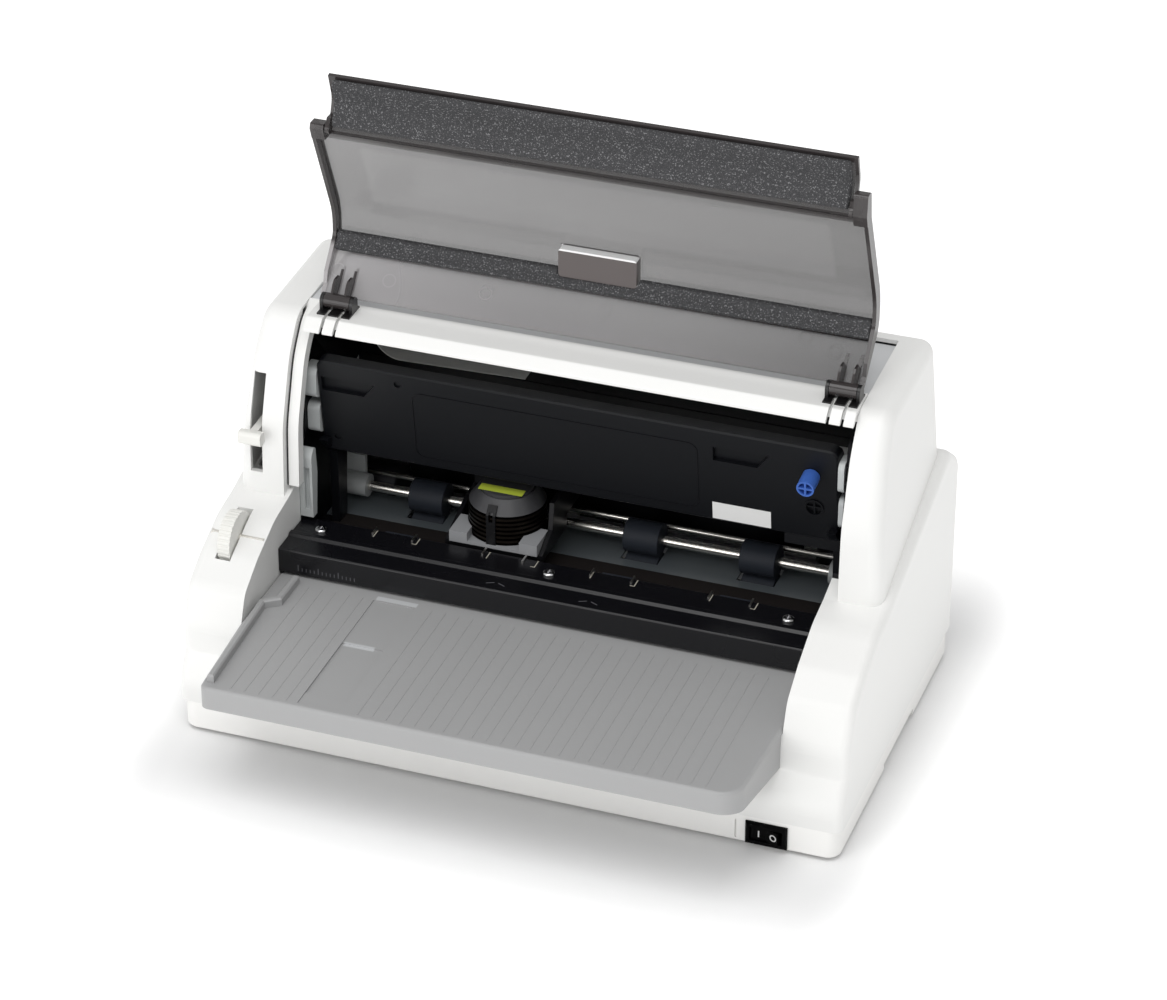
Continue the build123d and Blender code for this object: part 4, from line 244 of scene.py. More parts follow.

# %% [markdown]
# ## Plastics
# The casing is warm white ABS with a fine eroded grain, the paper table a mid grey one, and the
# rail and ribbon cartridge a satin black. One function makes all of them from the skin group.
# An optional marks function paints what a plain moulding doesn't have, such as painted shade
# inside the casing's bay or a printed scale: it gets the tree and the coordinates, and gives back
# pairs of a mask and a colour.

# %% Make a moulded plastic
ROUGHNESS_SPREAD = 0.08
GRAIN_STRENGTH = 0.6


def moulded(name, colour, roughness, grain=1400.0, depth=0.00004, drift=0.05, specular=0.5,
            marks=None):
    """A moulded plastic with drifting tone and an eroded skin."""
    made, tree, shader, place = new_material(name)
    surface = node(tree, "ShaderNodeGroup", {
        "Vector": place, "Colour": (*colour, 1), "Drift": drift, "Grain scale": grain,
        "Roughness": roughness, "Spread": ROUGHNESS_SPREAD}, node_tree=skin).outputs
    fill(tree, shader, {
        "Base Color": painted(tree, place, surface["Colour"], marks),
        "Roughness": surface["Roughness"],
        "Normal": bumped(tree, surface["Height"], GRAIN_STRENGTH, depth),
        "Specular IOR Level": specular,
    })
    made.diffuse_color = (*colour, 1)
    return made


print("plastics share the group", skin.name)

# %% [markdown]
# ## The casing and the painted shade of its bay
# Outside the casing is white. Inside the bay behind the cartridge its walls are painted near
# black. This is painted shade for the dark bay, and it stands in for the black chassis that the
# real printer shows there. A mask on Object coordinates follows the casing's inner walls: it
# starts behind the strip beside the opening, whose edge leans back with height, and ends inside
# the back wall, which leans forward.

# %% The painted shade of the bay
# The near black of the painted shade in the bay, also used for the real dark joint beside the
# strip.
SHADE_AND_JOINT_BLACK = (0.010, 0.010, 0.011)
BAY_SHADE_SIDES = (-0.1658, 0.1692)
BAY_SHADE_TOP = 0.2200
OPENING_EDGE = deep(98.5)
OPENING_FOOT, OPENING_LEAN = 0.160, 0.36
BACK_WALL = 0.0908
BACK_FOOT, BACK_LEAN = 0.151, 0.054


def bay_painted_shade(tree, x, y, z):
    """Painted shade of the bay inside the upper casing, standing in for its darkness and black
    chassis.
    """
    rise = maths(tree, "MAXIMUM", maths(tree, "SUBTRACT", z, OPENING_FOOT), 0.0)
    edge_lean = maths(tree, "MULTIPLY", rise, OPENING_LEAN)
    inwards = maths(tree, "SUBTRACT", maths(tree, "SUBTRACT", y, OPENING_EDGE), edge_lean)
    wall_lean = maths(tree, "MULTIPLY", maths(tree, "SUBTRACT", z, BACK_FOOT), BACK_LEAN)
    mask = all_of(
        tree,
        maths(tree, "GREATER_THAN", inwards, 0.0),
        maths(tree, "LESS_THAN", maths(tree, "ADD", y, wall_lean), BACK_WALL),
        between(tree, x, *BAY_SHADE_SIDES, 0.0002),
        between(tree, z, 0.0, BAY_SHADE_TOP, 0.0004),
    )
    return [(mask, SHADE_AND_JOINT_BLACK)]


print("painted bay shade", BAY_SHADE_SIDES, "up to", BAY_SHADE_TOP)

# %% [markdown]
# The strip beside the opening belongs to the bar that carries the cover. Where it meets the left
# side of the casing there is a dark joint, which is a mask too. The four whites differ: the base
# is the brightest and the levers are the yellowest.

# %% Casing, base and levers
SEAM_X = (-0.1660, -0.1638)
SEAM_FOOT = 0.118


def strip_seam(tree, x, y, z):
    """The dark joint between the left side of the casing and the strip beside the opening."""
    along = between(tree, z, SEAM_FOOT, BAY_SHADE_TOP, 0.001)
    return [(all_of(tree, between(tree, x, *SEAM_X, 0.0002), along), SHADE_AND_JOINT_BLACK)]


casing_white = moulded("casing white", (0.80, 0.80, 0.785), 0.42, drift=0.03, marks=bay_painted_shade)
bar_white = moulded("bar white", (0.80, 0.80, 0.785), 0.4, drift=0.03, marks=strip_seam)
base_white = moulded("base white", (0.87, 0.865, 0.845), 0.45, drift=0.03)
lever_white = moulded("lever white", (0.76, 0.755, 0.72), 0.4)
print("whites", casing_white.name, bar_white.name, base_white.name, lever_white.name)

# %% [markdown]
# ## The paper table
# It is a mid grey moulding. Its ribs are in the construction model; what the light adds is a
# painted highlight, a pale line on the two ledges of the sunk strip.

# %% Table grey
# The pale colour of the painted highlight on the ledges.
LEDGE_HIGHLIGHT = (0.50, 0.51, 0.52)
LEDGE_HEIGHT = 0.0705
BACK_LEDGE = ((-0.0985, -0.0735), (deep(57.0), deep(61.0)))
FRONT_LEDGE = ((-0.0985, -0.0800), (deep(8.0), deep(11.5)))


def ledge_highlights(tree, x, y, z):
    """Painted highlights on the two ledges of the sunk strip."""
    ledges = [patch(tree, x, y, *BACK_LEDGE, 0.0004), patch(tree, x, y, *FRONT_LEDGE, 0.0005)]
    on_top = maths(tree, "GREATER_THAN", z, LEDGE_HEIGHT)
    return [(all_of(tree, any_of(tree, ledges), on_top), LEDGE_HIGHLIGHT)]


table_grey = moulded("table grey", (0.345, 0.346, 0.348), 0.46, grain=1100.0, depth=0.00006,
                     marks=ledge_highlights)
print("table", table_grey.name)

# %% [markdown]
# ## The front rail and its scale
# The rail is satin black. On its top, two small arrows show where the sheet goes, and on its front
# face, at the left, fine ticks count columns. An arrow is a band that follows |x|, and the ticks
# are a repeating band cut to a length.

# %% Arrows and ticks
MARK_GREY = (0.10, 0.10, 0.11)
ARROW_TIPS = ((-0.0300, deep(72.5)), (0.0262, deep(71.8)))
ARROW_SLOPE = 0.45
ARROW_STROKE = 0.0007
ARROW_ARM = (0.0012, 0.0056)
ARROW_HEIGHT = 0.0915
SCALE_START = 0.15
TICKS_PER_METRE, TALL_TICKS_PER_METRE = 400.0, 80.0
TICK_FOOT = 0.0792
SCALE_X = (-0.1500, -0.1140)


def rail_arrow(tree, x, y, tip_x, tip_y):
    """One arrow: two arms that fall away from its tip."""
    side = maths(tree, "ABSOLUTE", maths(tree, "SUBTRACT", x, tip_x))
    slant = maths(tree, "MULTIPLY", side, ARROW_SLOPE)
    fold = maths(tree, "ADD", maths(tree, "SUBTRACT", y, tip_y), slant)
    return all_of(tree, between(tree, fold, 0.0, ARROW_STROKE, 0.0002),
                  between(tree, side, *ARROW_ARM, 0.0002))


def rail_ticks(tree, x, z):
    """The short and the tall ticks, each a part of a count that starts again at every tick."""
    ticks = []
    for per_metre, line, top, soft in ((TICKS_PER_METRE, (0.05, 0.24), 0.0815, 0.04),
                                       (TALL_TICKS_PER_METRE, (0.01, 0.05), 0.0832, 0.01)):
        count = maths(tree, "MULTIPLY", maths(tree, "ADD", x, SCALE_START), per_metre)
        part = maths(tree, "FRACT", count)
        ticks.append(all_of(tree, between(tree, part, *line, soft),
                            between(tree, z, TICK_FOOT, top, 0.0002)))
    return any_of(tree, ticks)


print("arrows", len(ARROW_TIPS), "millimetres to a tick", 1000 / TICKS_PER_METRE)

# %% [markdown]
# The four windows of the rail have a bright wire at either end, with a short foot that turns in
# from it. The same function gives all the marks of the rail, and the other blacks follow: the
# cartridge is the same plastic, a little less glossy.

# %% Rail black and the other blacks
WIRE = (0.42, 0.40, 0.34)
WIRE_HALF = 0.0003
WIRE_FOOT = 0.0026
WIRE_HEIGHT = 0.0860
WINDOWS = ((-0.1150, -0.0885), (-0.0450, -0.0155), (0.0183, 0.0450), (0.0900, 0.1168))
WINDOW_Y = (deep(95.0), deep(105.5))
BACK_FOOT_Y = (deep(104.9), deep(105.5))
FRONT_FOOT_Y = (deep(95.0), deep(95.6))
RAIL_FACE = deep(65.0)


def rail_marks(tree, x, y, z):
    """The arrows, the ticks and the wires of the windows."""
    on_top = maths(tree, "GREATER_THAN", z, ARROW_HEIGHT)
    prints = [all_of(tree, rail_arrow(tree, x, y, *tip), on_top) for tip in ARROW_TIPS]
    on_face = all_of(tree, between(tree, x, *SCALE_X, 0.0002),
                     maths(tree, "LESS_THAN", y, RAIL_FACE))
    prints.append(all_of(tree, rail_ticks(tree, x, z), on_face))
    wires = []
    for left, right in WINDOWS:
        for x_range, y_range in (((left - WIRE_HALF, left + WIRE_HALF), WINDOW_Y),
                                 ((right - WIRE_HALF, right + WIRE_HALF), WINDOW_Y),
                                 ((left, left + WIRE_FOOT), BACK_FOOT_Y),
                                 ((right - WIRE_FOOT, right), FRONT_FOOT_Y)):
            wires.append(patch(tree, x, y, x_range, y_range, 0.0001))
    bright = all_of(tree, any_of(tree, wires), maths(tree, "GREATER_THAN", z, WIRE_HEIGHT))
    return [(any_of(tree, prints), MARK_GREY), (bright, WIRE)]


rail_black = moulded("rail black", (0.0045, 0.0045, 0.006), 0.27, grain=1700.0, depth=0.00002,
                     drift=0.25, specular=0.42, marks=rail_marks)
cartridge_black = moulded("cartridge black", (0.0040, 0.0045, 0.0060), 0.36, grain=1900.0,
                          depth=0.00005, drift=0.2, specular=0.24)
satin_black = moulded("satin black", (0.005, 0.005, 0.006), 0.34, grain=1700.0, depth=0.00003,
                      drift=0.25, specular=0.28)
cap_grey = moulded("cap grey", (0.040, 0.040, 0.043), 0.34, grain=1200.0, depth=0.00005,
                   drift=0.3)
print("blacks", rail_black.name, cartridge_black.name, satin_black.name, cap_grey.name)

# %% [markdown]
# ## The power switch
# The rocker carries the two generic marks of any mains switch, a bar for on and a ring for off.
# They are moulded in white in the rocker's face, so they are masks on it.

# %% Switch black
SWITCH_X = 0.156
SWITCH_Z = 0.0104
BAR_LEFT, BAR_RIGHT, BAR_HALF = 0.0047, 0.0039, 0.0021
RING_OFFSET = 0.0044
RING = (0.0014, 0.0021)
SWITCH_FACE = FRONT + 0.0012
SWITCH_MARKS = (0.60, 0.60, 0.60)


def switch_marks(tree, x, y, z):
    """A bar on one half of the rocker and a ring on the other."""
    up_down = maths(tree, "SUBTRACT", z, SWITCH_Z)
    bar = patch(tree, x, up_down, (SWITCH_X - BAR_LEFT, SWITCH_X - BAR_RIGHT),
                (-BAR_HALF, BAR_HALF), 0.0001)
    beside = maths(tree, "SUBTRACT", x, SWITCH_X + RING_OFFSET)
    ring = between(tree, distance(tree, beside, up_down), *RING, 0.0001)
    front_only = maths(tree, "LESS_THAN", y, SWITCH_FACE)
    return [(all_of(tree, any_of(tree, [bar, ring]), front_only), SWITCH_MARKS)]


switch_black = moulded("switch black", (0.002, 0.002, 0.0022), 0.3, specular=0.04,
                       marks=switch_marks)
print("switch", switch_black.name)

# %% [markdown]
# ## Small inner parts
# Bushes, gears and holders are a cool, slightly translucent white; the knob is a clear blue; the
# rollers are a dusty blue-black rubber; and the cable to the print head is a pale flat strip.

# %% Inner plastics and rubbers
inner_grey = moulded("inner grey", (0.60, 0.61, 0.62), 0.48)
bracket_grey = moulded("bracket grey", (0.27, 0.275, 0.285), 0.42)
cool_white = moulded("cool white", (0.50, 0.52, 0.52), 0.38, drift=0.12)
knob_blue = moulded("knob blue", (0.045, 0.125, 0.45), 0.32, grain=900.0)
roller_rubber = moulded("roller rubber", (0.024, 0.029, 0.040), 0.62, grain=2400.0,
                        depth=0.00005, drift=0.2, specular=0.35)
foot_rubber = moulded("foot rubber", (0.02, 0.02, 0.02), 0.7)
cable_grey = moulded("cable grey", (0.72, 0.72, 0.69), 0.35)
plate_paint = moulded("plate paint", (0.105, 0.120, 0.130), 0.32, drift=0.3)
ribbon_black = moulded("ribbon black", (0.010, 0.0075, 0.007), 0.75, grain=3000.0, specular=0.25)
print("materials so far", len(bpy.data.materials))

# %% [markdown]
# ## Metals
# The shafts are steel that was ground as it turned, so their marks run round them and catch the
# light as a bright line. The sheet steel is zinc plated, with the faint cloudy spangle of zinc.
# A noise stretched along one axis gives the marks.

# %% Make the metals
DULLED = 0.82  # how much of its brightness a metal keeps in its marks
MARK_STRENGTH, MARK_DEPTH = 0.4, 0.00001


def metal(name, colour, roughness, stretch=(1.0, 1.0, 1.0), scale=300.0, spread=0.15):
    """A metal with stretched marks in its tone and roughness."""
    made, tree, shader, place = new_material(name)
    mapped = node(tree, "ShaderNodeMapping", {"Vector": place, "Scale": stretch}).outputs[0]
    marks = noise(tree, mapped, scale, detail=4.0)
    smooth, dull = roughness - spread / 2, roughness + spread / 2
    fill(tree, shader, {
        "Metallic": 1.0,
        "Base Color": mixed(tree, marks, [channel * DULLED for channel in colour], colour),
        "Roughness": ramp(tree, marks, 0.0, 1.0, smooth, dull),
        "Normal": bumped(tree, marks, MARK_STRENGTH, MARK_DEPTH),
    })
    made.diffuse_color = (*colour, 1)
    return made


ground_steel = metal("ground steel", (1.0, 0.97, 0.91), 0.24, stretch=(6.0, 0.3, 0.3))
clip_steel = metal("clip steel", (0.62, 0.61, 0.59), 0.3)
zinc_sheet = metal("zinc sheet", (0.42, 0.43, 0.45), 0.4, scale=60.0, spread=0.25)
dull_steel = metal("dull steel", (0.20, 0.20, 0.21), 0.42, scale=80.0, spread=0.2)
frame_black = metal("frame black", (0.016, 0.016, 0.018), 0.5, scale=90.0, spread=0.1)
screw_chrome = metal("screw chrome", (0.85, 0.85, 0.86), 0.14, scale=500.0, spread=0.08)
fin_black = metal("fin black", (0.030, 0.024, 0.020), 0.4, stretch=(1.0, 1.0, 8.0), scale=200.0)
motor_grey = metal("motor grey", (0.11, 0.11, 0.12), 0.45, scale=90.0)
print("materials so far", len(bpy.data.materials))

# %% [markdown]
# ## Circuit board
# The board lies hidden under the chassis pan, but it is part of the printer all the same: a green
# lacquer over copper runs, which a brick pattern of thin lines suggests.

# %% Make the board lacquer
board_green, tree, shader, place = new_material("board green")
runs = node(tree, "ShaderNodeTexBrick", {
    "Vector": place, "Color1": (0.02, 0.14, 0.05, 1), "Color2": (0.02, 0.17, 0.06, 1),
    "Mortar": (0.05, 0.26, 0.10, 1), "Scale": 60.0, "Mortar Size": 0.03})
fill(tree, shader, {"Base Color": runs.outputs["Color"], "Roughness": 0.3})
print("board", board_green.name)

# %% [markdown]
# ## Smoked cover
# The cover is a brownish grey, see-through sheet. Light crosses both of its faces, so each face
# lets about half through, and the thick parts, such as the barrels and fins of the hinges and the
# lips at the ends, look nearly black because the light crosses more plastic there. The real
# sheet has a clearer rectangle in its middle, and round marks where pins pushed it out of
# the mould. All of that is written as masks on the Object coordinates of the open cover.

# %% Masks of the cover
HINGE_MIDDLES = (-0.143, 0.1573)
BARREL_HALF, BARREL_TOP, BARREL_BACK = 0.0082, 0.2335, deep(125.6)
FIN_SIDES, FIN_HALF, FIN_TOP = (-0.0041, 0.0041), 0.0009, 0.2400
PIN_MARKS = ((-0.150, 0.2395), (-0.118, 0.2385), (-0.060, 0.2400), (0.011, 0.2405),
             (0.146, 0.2400), (0.128, 0.2440))
PIN_RING = (0.0034, 0.0041)
SHEET_LEAN = 1.42  # the sheet leans here, and is so many times as long as it is high


def hinge_mask(tree, x, y, z):
    """The fins and barrels of both hinges."""
    masks = []
    for middle in HINGE_MIDDLES:
        masks.append(all_of(tree, around(tree, x, middle, BARREL_HALF, 0.0002),
                            maths(tree, "LESS_THAN", z, BARREL_TOP),
                            maths(tree, "LESS_THAN", y, BARREL_BACK)))
        for side in FIN_SIDES:
            masks.append(all_of(tree, around(tree, x, middle + side, FIN_HALF, 0.0001),
                                maths(tree, "LESS_THAN", z, FIN_TOP)))
    return any_of(tree, masks)


def pin_rings(tree, x, z):
    """The round marks of the mould's pins on the low part of the panel."""
    rings = []
    for mark_x, mark_z in PIN_MARKS:
        off_x = maths(tree, "SUBTRACT", x, mark_x)
        off_z = maths(tree, "MULTIPLY", maths(tree, "SUBTRACT", z, mark_z), SHEET_LEAN)
        rings.append(between(tree, distance(tree, off_x, off_z), *PIN_RING, 0.0003))
    return any_of(tree, rings)


print("hinges", len(HINGE_MIDDLES), "pin marks", len(PIN_MARKS))

# %% [markdown]
# The sheet itself is an Alpha below 1 over a dark tint. A broad noise makes both uneven, and a
# shades function adds to the Alpha where there is more plastic. A low, slow bump makes the
# reflections swim a little, as they do in a large thin moulding.

# %% Make the smoked plastic
TINTS = ((0.026, 0.022, 0.022), (0.046, 0.040, 0.040))
CLOUDING = 0.06
MOST_ALPHA = 0.97
SWAY = 12.0  # the slow waves of the sheet against its fine grain


def smoked(name, alpha, shades, sheen=None):
    """A smoked sheet; shades gives masks and what each adds to Alpha, sheen masks and painted
    sheen colours.
    """
    made, tree, shader, place = new_material(name)
    cloud = noise(tree, place, 9.0)
    alpha = maths(tree, "MULTIPLY_ADD", cloud, CLOUDING, alpha)
    for mask, more in shades(tree, *axes(tree, place)):
        alpha = maths(tree, "MULTIPLY_ADD", mask, more, alpha)
    uneven = maths(tree, "MULTIPLY_ADD", noise(tree, place, 26.0), SWAY,
                   noise(tree, place, 1500.0))
    fill(tree, shader, {
        "Base Color": painted(tree, place, mixed(tree, cloud, *TINTS), sheen),
        "Alpha": maths(tree, "MINIMUM", alpha, MOST_ALPHA),
        "Normal": bumped(tree, uneven, 0.25, 0.00002),
        "Roughness": 0.16,
    })
    made.diffuse_color = (0.15, 0.14, 0.14, 0.6)
    return made


print("tints", TINTS)

# %% [markdown]
# The large panel is darker at its ends and where it folds over at the top. Its low part leans back
# and gets a painted sheen, a pale painted reflection where it meets the light, most at the left.
# The flap is thick all round its rim. The grip is moulded solid, so it isn't see-through.

# %% Panel, flap and grip
CLEAR_WINDOW = ((-0.132, 0.142), (0.280, 0.322))
PANEL_ENDS = (-0.1540, 0.1640)
PANEL_LOW = (0.20, 0.2530)
PANEL_FOLD = (0.3275, 0.3500)
# The colour of the painted sheen where the low part of the panel meets the light.
PAINTED_SHEEN = (0.40, 0.385, 0.39)
FLAP_ENDS = (-0.1462, 0.1562)
FLAP_TOP = (0.3630, 0.3700)
GRIP_TOP = 0.2708


def outside(tree, value, low, high, soft):
    """1 beyond both limits."""
    return maths(tree, "SUBTRACT", 1.0, between(tree, value, low, high, soft))


def panel_shades(tree, x, y, z):
    """Where the large panel is clearer or darker than its plain sheet."""
    window = patch(tree, x, z, *CLEAR_WINDOW, 0.0015)
    ends = outside(tree, x, *PANEL_ENDS, 0.0003)
    low = between(tree, z, *PANEL_LOW, 0.002)
    rightwards = ramp(tree, x, -0.15, 0.16)
    fold = between(tree, z, *PANEL_FOLD, 0.0006)
    return [(window, -0.030), (ends, 0.40), (rightwards, 0.055), (low, -0.03), (fold, 0.30),
            (hinge_mask(tree, x, y, z), 0.6), (pin_rings(tree, x, z), 0.10)]


def panel_sheen(tree, x, y, z):
    """Painted sheen on the low part of the panel, between its hinges, most at the left."""
    low = between(tree, z, *PANEL_LOW, 0.002)
    leftwards = ramp(tree, x, -0.15, 0.17, 0.95, 0.0)
    plain = maths(tree, "SUBTRACT", 1.0, hinge_mask(tree, x, y, z))
    return [(all_of(tree, low, leftwards, plain), PAINTED_SHEEN)]


def flap_shades(tree, x, y, z):
    """The thick rim of the flap, at its ends and its top."""
    ends = outside(tree, x, *FLAP_ENDS, 0.0003)
    top = between(tree, z, *FLAP_TOP, 0.0004)
    return [(ends, 0.4), (top, 0.45)]


def grip_edge(tree, x, y, z):
    """The grip's upper face lies in full light and looks almost white."""
    return [(maths(tree, "GREATER_THAN", z, GRIP_TOP), (0.85, 0.85, 0.85))]


smoked_panel = smoked("smoked panel", 0.515, panel_shades, panel_sheen)
smoked_flap = smoked("smoked flap", 0.75, flap_shades)
hinge_smoke = moulded("hinge smoke", (0.006, 0.0055, 0.006), 0.3)
grip_smoke = moulded("grip smoke", (0.090, 0.075, 0.073), 0.3, drift=0.15, marks=grip_edge)
print("smoked", smoked_panel.name, smoked_flap.name, hinge_smoke.name, grip_smoke.name)

# %% [markdown]
# ## Dressing the nodes
# A node whose shape is right keeps its mesh and only changes its material slot. By hand that is
# one click for each node; a table of finishes does the same and can be read at a glance.

# %% Give every node its material
FINISHES = {
    casing_white: ("lower_casing", "upper_casing"),
    bar_white: ("hinge_bar",),
    lever_white: ("gap_lever", "thumb_wheel"),
    base_white: ("base_tray",),
    table_grey: ("paper_table", "edge_guide"),
    rail_black: ("front_guide_rail",),
    cartridge_black: ("ribbon_cartridge",),
    satin_black: ("platen_bar", "carriage", "ac_inlet", "data_sockets", "head_clip"),
    switch_black: ("switch_bezel", "power_rocker"),
    cap_grey: ("head_cap",),
    hinge_smoke: ("hinge_brackets",),
    inner_grey: ("top_inset_panel",),
    bracket_grey: ("head_bracket",),
    grip_smoke: ("cover_grip",),
    cool_white: ("shaft_bushes", "idler_gear", "motor_pinion", "idler_pulley", "drive_pulley",
                 "cartridge_holders", "release_bracket"),
    knob_blue: ("ribbon_knob",),
    roller_rubber: ("rear_upper_rollers", "rear_lower_rollers", "front_lower_rollers",
                    "pinch_rollers", "carriage_belt"),
    foot_rubber: ("rubber_feet",),
    cable_grey: ("flex_cable",),
    ribbon_black: ("ribbon_band",),
    ground_steel: ("rear_upper_shaft", "rear_lower_shaft", "front_lower_shaft", "wheel_axle"),
    plate_paint: ("front_guide_plate", "rear_guide_plate"),
    dull_steel: ("carriage_shaft",),
    clip_steel: ("roller_clips",),
    zinc_sheet: ("chassis_pan", "power_supply"),
    frame_black: ("side_frame_left", "side_frame_right", "rear_rail"),
    screw_chrome: ("rail_screws",),
    fin_black: ("print_head",),
    motor_grey: ("feed_motor", "carriage_motor"),
    board_green: ("main_board",),
    smoked_panel: ("cover_panel",),
    smoked_flap: ("cover_flap",),
}


def dress(piece, material):
    """Replaces all the material slots of an object with one material."""
    piece.data.materials.clear()
    piece.data.materials.append(material)


for finish, names in FINISHES.items():
    for name in names:
        dress(nodes[name], finish)
dressed = {name for names in FINISHES.values() for name in names}
print("dressed", len(dressed), "left for new pieces", sorted(set(nodes) - dressed))

# %% [markdown]
# ## Foam strips
# Two strips of open-celled foam line the cover: one in its fold, one over the whole inside of the
# flap. Cut foam is matt, and where the blade opened its cells it glints a little; these glints are
# painted. A cell pattern gives the pores, and the peaks of a fine noise paint the glints as pale
# specks in the colour.

# %% Foam material
foam_dark, tree, shader, place = new_material("foam dark")
cells = node(tree, "ShaderNodeTexVoronoi", {"Vector": place, "Scale": 1900.0}).outputs["Distance"]
pores = mixed(tree, cells, (0.030, 0.030, 0.032), (0.085, 0.085, 0.088))
# Painted glints: pale specks where a fine noise peaks.
painted_glints = maths(tree, "GREATER_THAN", noise(tree, place, 1100.0), 0.62)
fill(tree, shader, {
    "Base Color": mixed(tree, painted_glints, pores, (0.20, 0.20, 0.205)),
    "Normal": bumped(tree, cells, 0.7, 0.0004),
    "Roughness": 0.95,
    "Specular IOR Level": 0.15,
})
print("foam", foam_dark.name)

# %% [markdown]
# The edges of cut foam are soft and slightly crowned. Each strip is made from a merged copy of
# its construction node: a voxel remesh gives it an even skin, and a smoothing modifier draws its
# edges in, which keeps it inside the room that it had. The strip in the fold is built in three
# lengths that meet end to end, and the remesh joins them in one skin.

# %% Make a soft copy of each foam strip
MERGE = 0.00001
VOXEL = 0.0011


def alone(piece):
    """Makes one object the only selected and active one."""
    bpy.ops.object.select_all(action="DESELECT")
    piece.hide_set(False)
    piece.select_set(True)
    bpy.context.view_layer.objects.active = piece


def soft_strip(name, solid, body):
    """A foam strip with drawn-in edges in the room of a construction node."""
    mesh = nodes[solid].data.copy()
    strip = bpy.data.objects.new(name, mesh)
    bpy.context.scene.collection.objects.link(strip)
    alone(strip)
    bpy.ops.object.mode_set(mode="EDIT")
    bpy.ops.mesh.select_all(action="SELECT")
    bpy.ops.mesh.remove_doubles(threshold=MERGE)
    bpy.ops.mesh.normals_make_consistent(inside=False)
    bpy.ops.object.mode_set(mode="OBJECT")
    even_skin = strip.modifiers.new("even skin", "REMESH")
    even_skin.mode = "VOXEL"
    even_skin.voxel_size = VOXEL
    draw_in = strip.modifiers.new("drawn in", "SMOOTH")
    draw_in.factor = 0.5
    draw_in.iterations = 5
    bpy.ops.object.modifier_apply(modifier="even skin")
    bpy.ops.object.modifier_apply(modifier="drawn in")
    bpy.ops.object.shade_smooth()
    dress(strip, foam_dark)
    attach(strip, body)
    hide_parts(solid)
    print(name, "faces", len(mesh.polygons))


soft_strip("cover_foam_pad", "cover_foam", "cover_group")
soft_strip("flap_foam_pad", "flap_foam", "flap_group")

# %% [markdown]
# ## Labels and the rod behind the rollers
# The print head wears a small yellow-green label in front of its cap's flat top, and the cartridge
# a white one low on the right of its face. Both are left bare. A label is a thin card: a cube is
# scaled to its size and turned into its plane. Its corners are square, where the real ones are a
# little rounded. To round them, the four short edges would be beveled in edge select mode: in
# vertex select mode, turning off one edge turns off its ends too, and the bevel then does nothing.

# %% Make a card
def card(name, centre, size, turn, material, body):
    """A thin card of (wide, high, thick), turned about X, with square corners."""
    bpy.ops.object.select_all(action="DESELECT")
    bpy.ops.mesh.primitive_cube_add(size=1, location=(0, 0, 0))
    piece = bpy.context.object
    piece.name = name
    piece.scale = size
    bpy.ops.object.transform_apply(location=False, rotation=False, scale=True)
    piece.rotation_euler = (turn, 0, 0)
    piece.location = centre
    bpy.ops.object.transform_apply(location=True, rotation=True, scale=True)
    dress(piece, material)
    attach(piece, body)
    return piece


label_lime = moulded("label lime", (0.42, 0.50, 0.05), 0.35, grain=900.0, depth=0.00001,
                     drift=0.15)
label_white = moulded("label white", (0.78, 0.78, 0.77), 0.4, grain=900.0, depth=0.00001)
print("cards", label_lime.name, label_white.name)

# %% [markdown]
# The cartridge's face leans: over its height it comes forward by a few millimetres. The white
# label is turned by the same angle, and its depth is worked out at the height where it sits.

# %% The two labels
FACE_TOP, FACE_TOP_DEPTH = 0.194, 110.0
FACE_RISE, FACE_RUN = 63.0, 8.5
FACE_LEAN = math.atan2(FACE_RUN, FACE_RISE)
LABEL_X, LABEL_Z = 0.1012, 0.1385
PROUD = 0.0002
face_y = deep(FACE_TOP_DEPTH + FACE_RUN * (FACE_TOP - LABEL_Z) / (FACE_RISE / 1000)) - PROUD
head_label = card("head_label", (-0.0447, deep(120.9), 0.12338), (0.027, 0.0066, 0.00012), 0.0,
                  label_lime, "carriage_group")
cart_label = card("cartridge_label", (LABEL_X, face_y, LABEL_Z), (0.0345, 0.0116, 0.00022),
                  math.pi / 2 + FACE_LEAN, label_white, "printer")
print("labels", head_label.name, cart_label.name)

# %% [markdown]
# Behind the feed rollers a thin steel rod runs from frame to frame and guides the sheet. It is a
# cylinder added along Z, with all its edges beveled in edit mode, and then turned to lie along X.
# The bevel is nearly as wide as the rod's narrow side faces, so along the rod its strips overlap
# by a hair. A bevel on the two rims alone would be cleaner.

# %% The guide rod
ROD_RADIUS, ROD_LENGTH = 0.0016, 0.3236
ROD_BEVEL = 0.0003
ROD_Y, ROD_Z = deep(172.0), 0.0866
bpy.ops.object.select_all(action="DESELECT")
bpy.ops.mesh.primitive_cylinder_add(vertices=32, radius=ROD_RADIUS, depth=ROD_LENGTH,
                                    location=(0, 0, 0))
guide_rod = bpy.context.object
guide_rod.name = "guide_rod"
bpy.ops.object.mode_set(mode="EDIT")
bpy.ops.mesh.select_all(action="SELECT")
bpy.ops.mesh.bevel(offset=ROD_BEVEL, segments=2, affect="EDGES")
bpy.ops.object.mode_set(mode="OBJECT")
guide_rod.rotation_euler = (0, math.pi / 2, 0)
guide_rod.location = (0, ROD_Y, ROD_Z)
bpy.ops.object.transform_apply(location=True, rotation=True, scale=True)
bpy.ops.object.shade_smooth_by_angle(angle=math.radians(35))
dress(guide_rod, ground_steel)
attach(guide_rod, "printer")
print("rod", guide_rod.name, "faces", len(guide_rod.data.polygons))
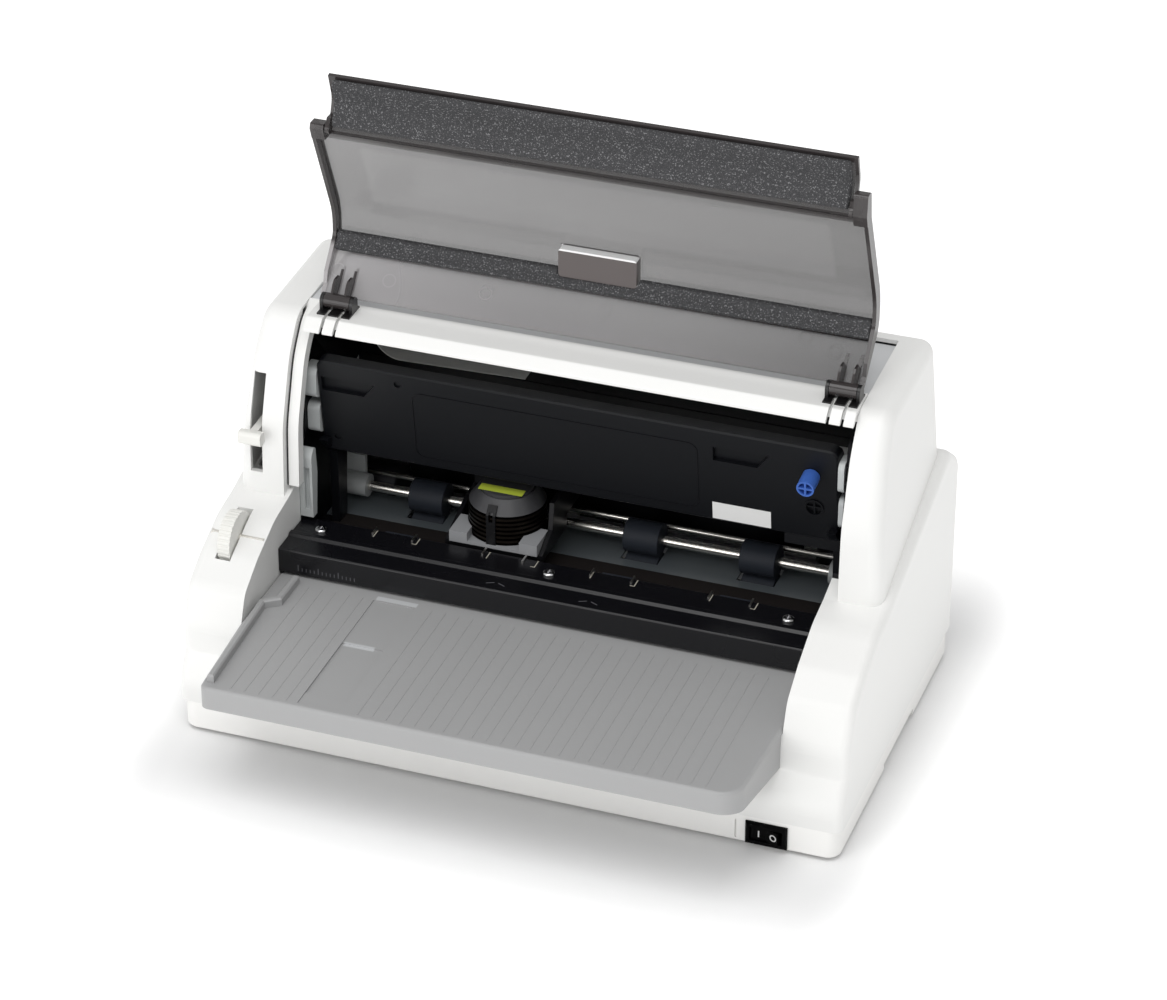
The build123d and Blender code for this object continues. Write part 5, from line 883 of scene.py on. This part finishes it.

# %% [markdown]
# ## Studio
# The printer stands on a plain white floor under one large soft light from above and ahead, with a
# weaker fill low from the left. The floor's paper has a painted glow, which grows the further it
# is from the printer, as in an overexposed sweep. It washes out the shadows, so that only a soft
# pool of shade is left near the printer.

# %% Floor
FLOOR_SIZE = 14
POOL_HALF_X, POOL_HALF_Y = 0.188, 0.130  # the glow is counted from this rectangle outwards
SIDE_RATE = 1.9  # it grows so much faster at the sides than in front
GLOW_FROM, GLOW_TO, GLOW = 0.01, 0.12, 0.45
bpy.ops.object.select_all(action="DESELECT")
bpy.ops.mesh.primitive_plane_add(size=FLOOR_SIZE, location=(0, 0, 0))
floor = bpy.context.object
floor.name = "studio_floor"
floor_paper, tree, shader, place = new_material("floor paper")
away = [maths(tree, "MAXIMUM", maths(tree, "SUBTRACT", maths(tree, "ABSOLUTE", value), half), 0.0)
        for value, half in zip(axes(tree, place), (POOL_HALF_X, POOL_HALF_Y))]
away[0] = maths(tree, "MULTIPLY", away[0], SIDE_RATE)
# Painted glow: the floor's emission grows with the distance from the printer.
glow = ramp(tree, distance(tree, *away), GLOW_FROM, GLOW_TO, 0.0, GLOW, "SMOOTHSTEP")
white_glow = node(tree, "ShaderNodeCombineColor", {0: glow, 1: glow, 2: glow})
fill(tree, shader, {
    "Base Color": mixed(tree, noise(tree, place, 40.0), (0.85, 0.85, 0.85), (0.87, 0.87, 0.87)),
    "Emission Color": white_glow.outputs[0],
    "Emission Strength": 1.0,
    "Roughness": 0.8,
})
floor.data.materials.append(floor_paper)
print("floor", floor.name)

# %% [markdown]
# Large lights give soft shade, as the cloth boxes of a photographer do. The air of the studio
# lights the rest evenly, as its white walls would.

# %% Lights
LIGHT_SIZE = 1.6
LIGHT_AIM = Vector((0, 0, 0.1))
AIR = 0.63


def soft_light(name, place, watts):
    """A large square area light that looks at the printer."""
    data = bpy.data.lights.new(name, "AREA")
    data.size = LIGHT_SIZE
    data.energy = watts
    lamp = bpy.data.objects.new(name, data)
    lamp.location = place
    lamp.rotation_euler = (LIGHT_AIM - Vector(place)).to_track_quat("-Z", "Y").to_euler()
    bpy.context.scene.collection.objects.link(lamp)


soft_light("key", (0.1, -0.9, 2.2), 23)
soft_light("fill", (-1.1, -2.2, 0.6), 15)
world = bpy.data.worlds.new("studio air")
world.use_nodes = True
fill(world.node_tree, world.node_tree.nodes["Background"],
     {"Color": (1, 1, 1, 1), "Strength": AIR})
bpy.context.scene.world = world
bpy.context.scene.view_settings.view_transform = "Standard"
print("lights", len(bpy.data.lights))

# %% [markdown]
# The camera was fitted to the photograph once, from the printer's own straight edges: it stands
# about 2.4 metres away, some twenty degrees round to the right and thirty-one degrees up.

# %% Camera
AZIMUTH = math.radians(19.71)
ELEVATION = math.radians(31.21)
CAMERA_PLACE = (0.68521, -1.89109, 1.34815)
back = Vector((math.sin(AZIMUTH) * math.cos(ELEVATION), -math.cos(AZIMUTH) * math.cos(ELEVATION),
               math.sin(ELEVATION)))
right = Vector((math.cos(AZIMUTH), math.sin(AZIMUTH), 0))
up = back.cross(right)
lens = bpy.data.cameras.new("photo lens")
lens.lens = 127.12
lens.sensor_width = 36
lens.clip_end = 50
camera = bpy.data.objects.new("photo camera", lens)
camera.matrix_world = Matrix.Translation(CAMERA_PLACE) @ Matrix(
    ((right.x, up.x, back.x), (right.y, up.y, back.y), (right.z, up.z, back.z))).to_4x4()
bpy.context.scene.collection.objects.link(camera)
bpy.context.scene.camera = camera
print("camera at", [round(v, 3) for v in CAMERA_PLACE])
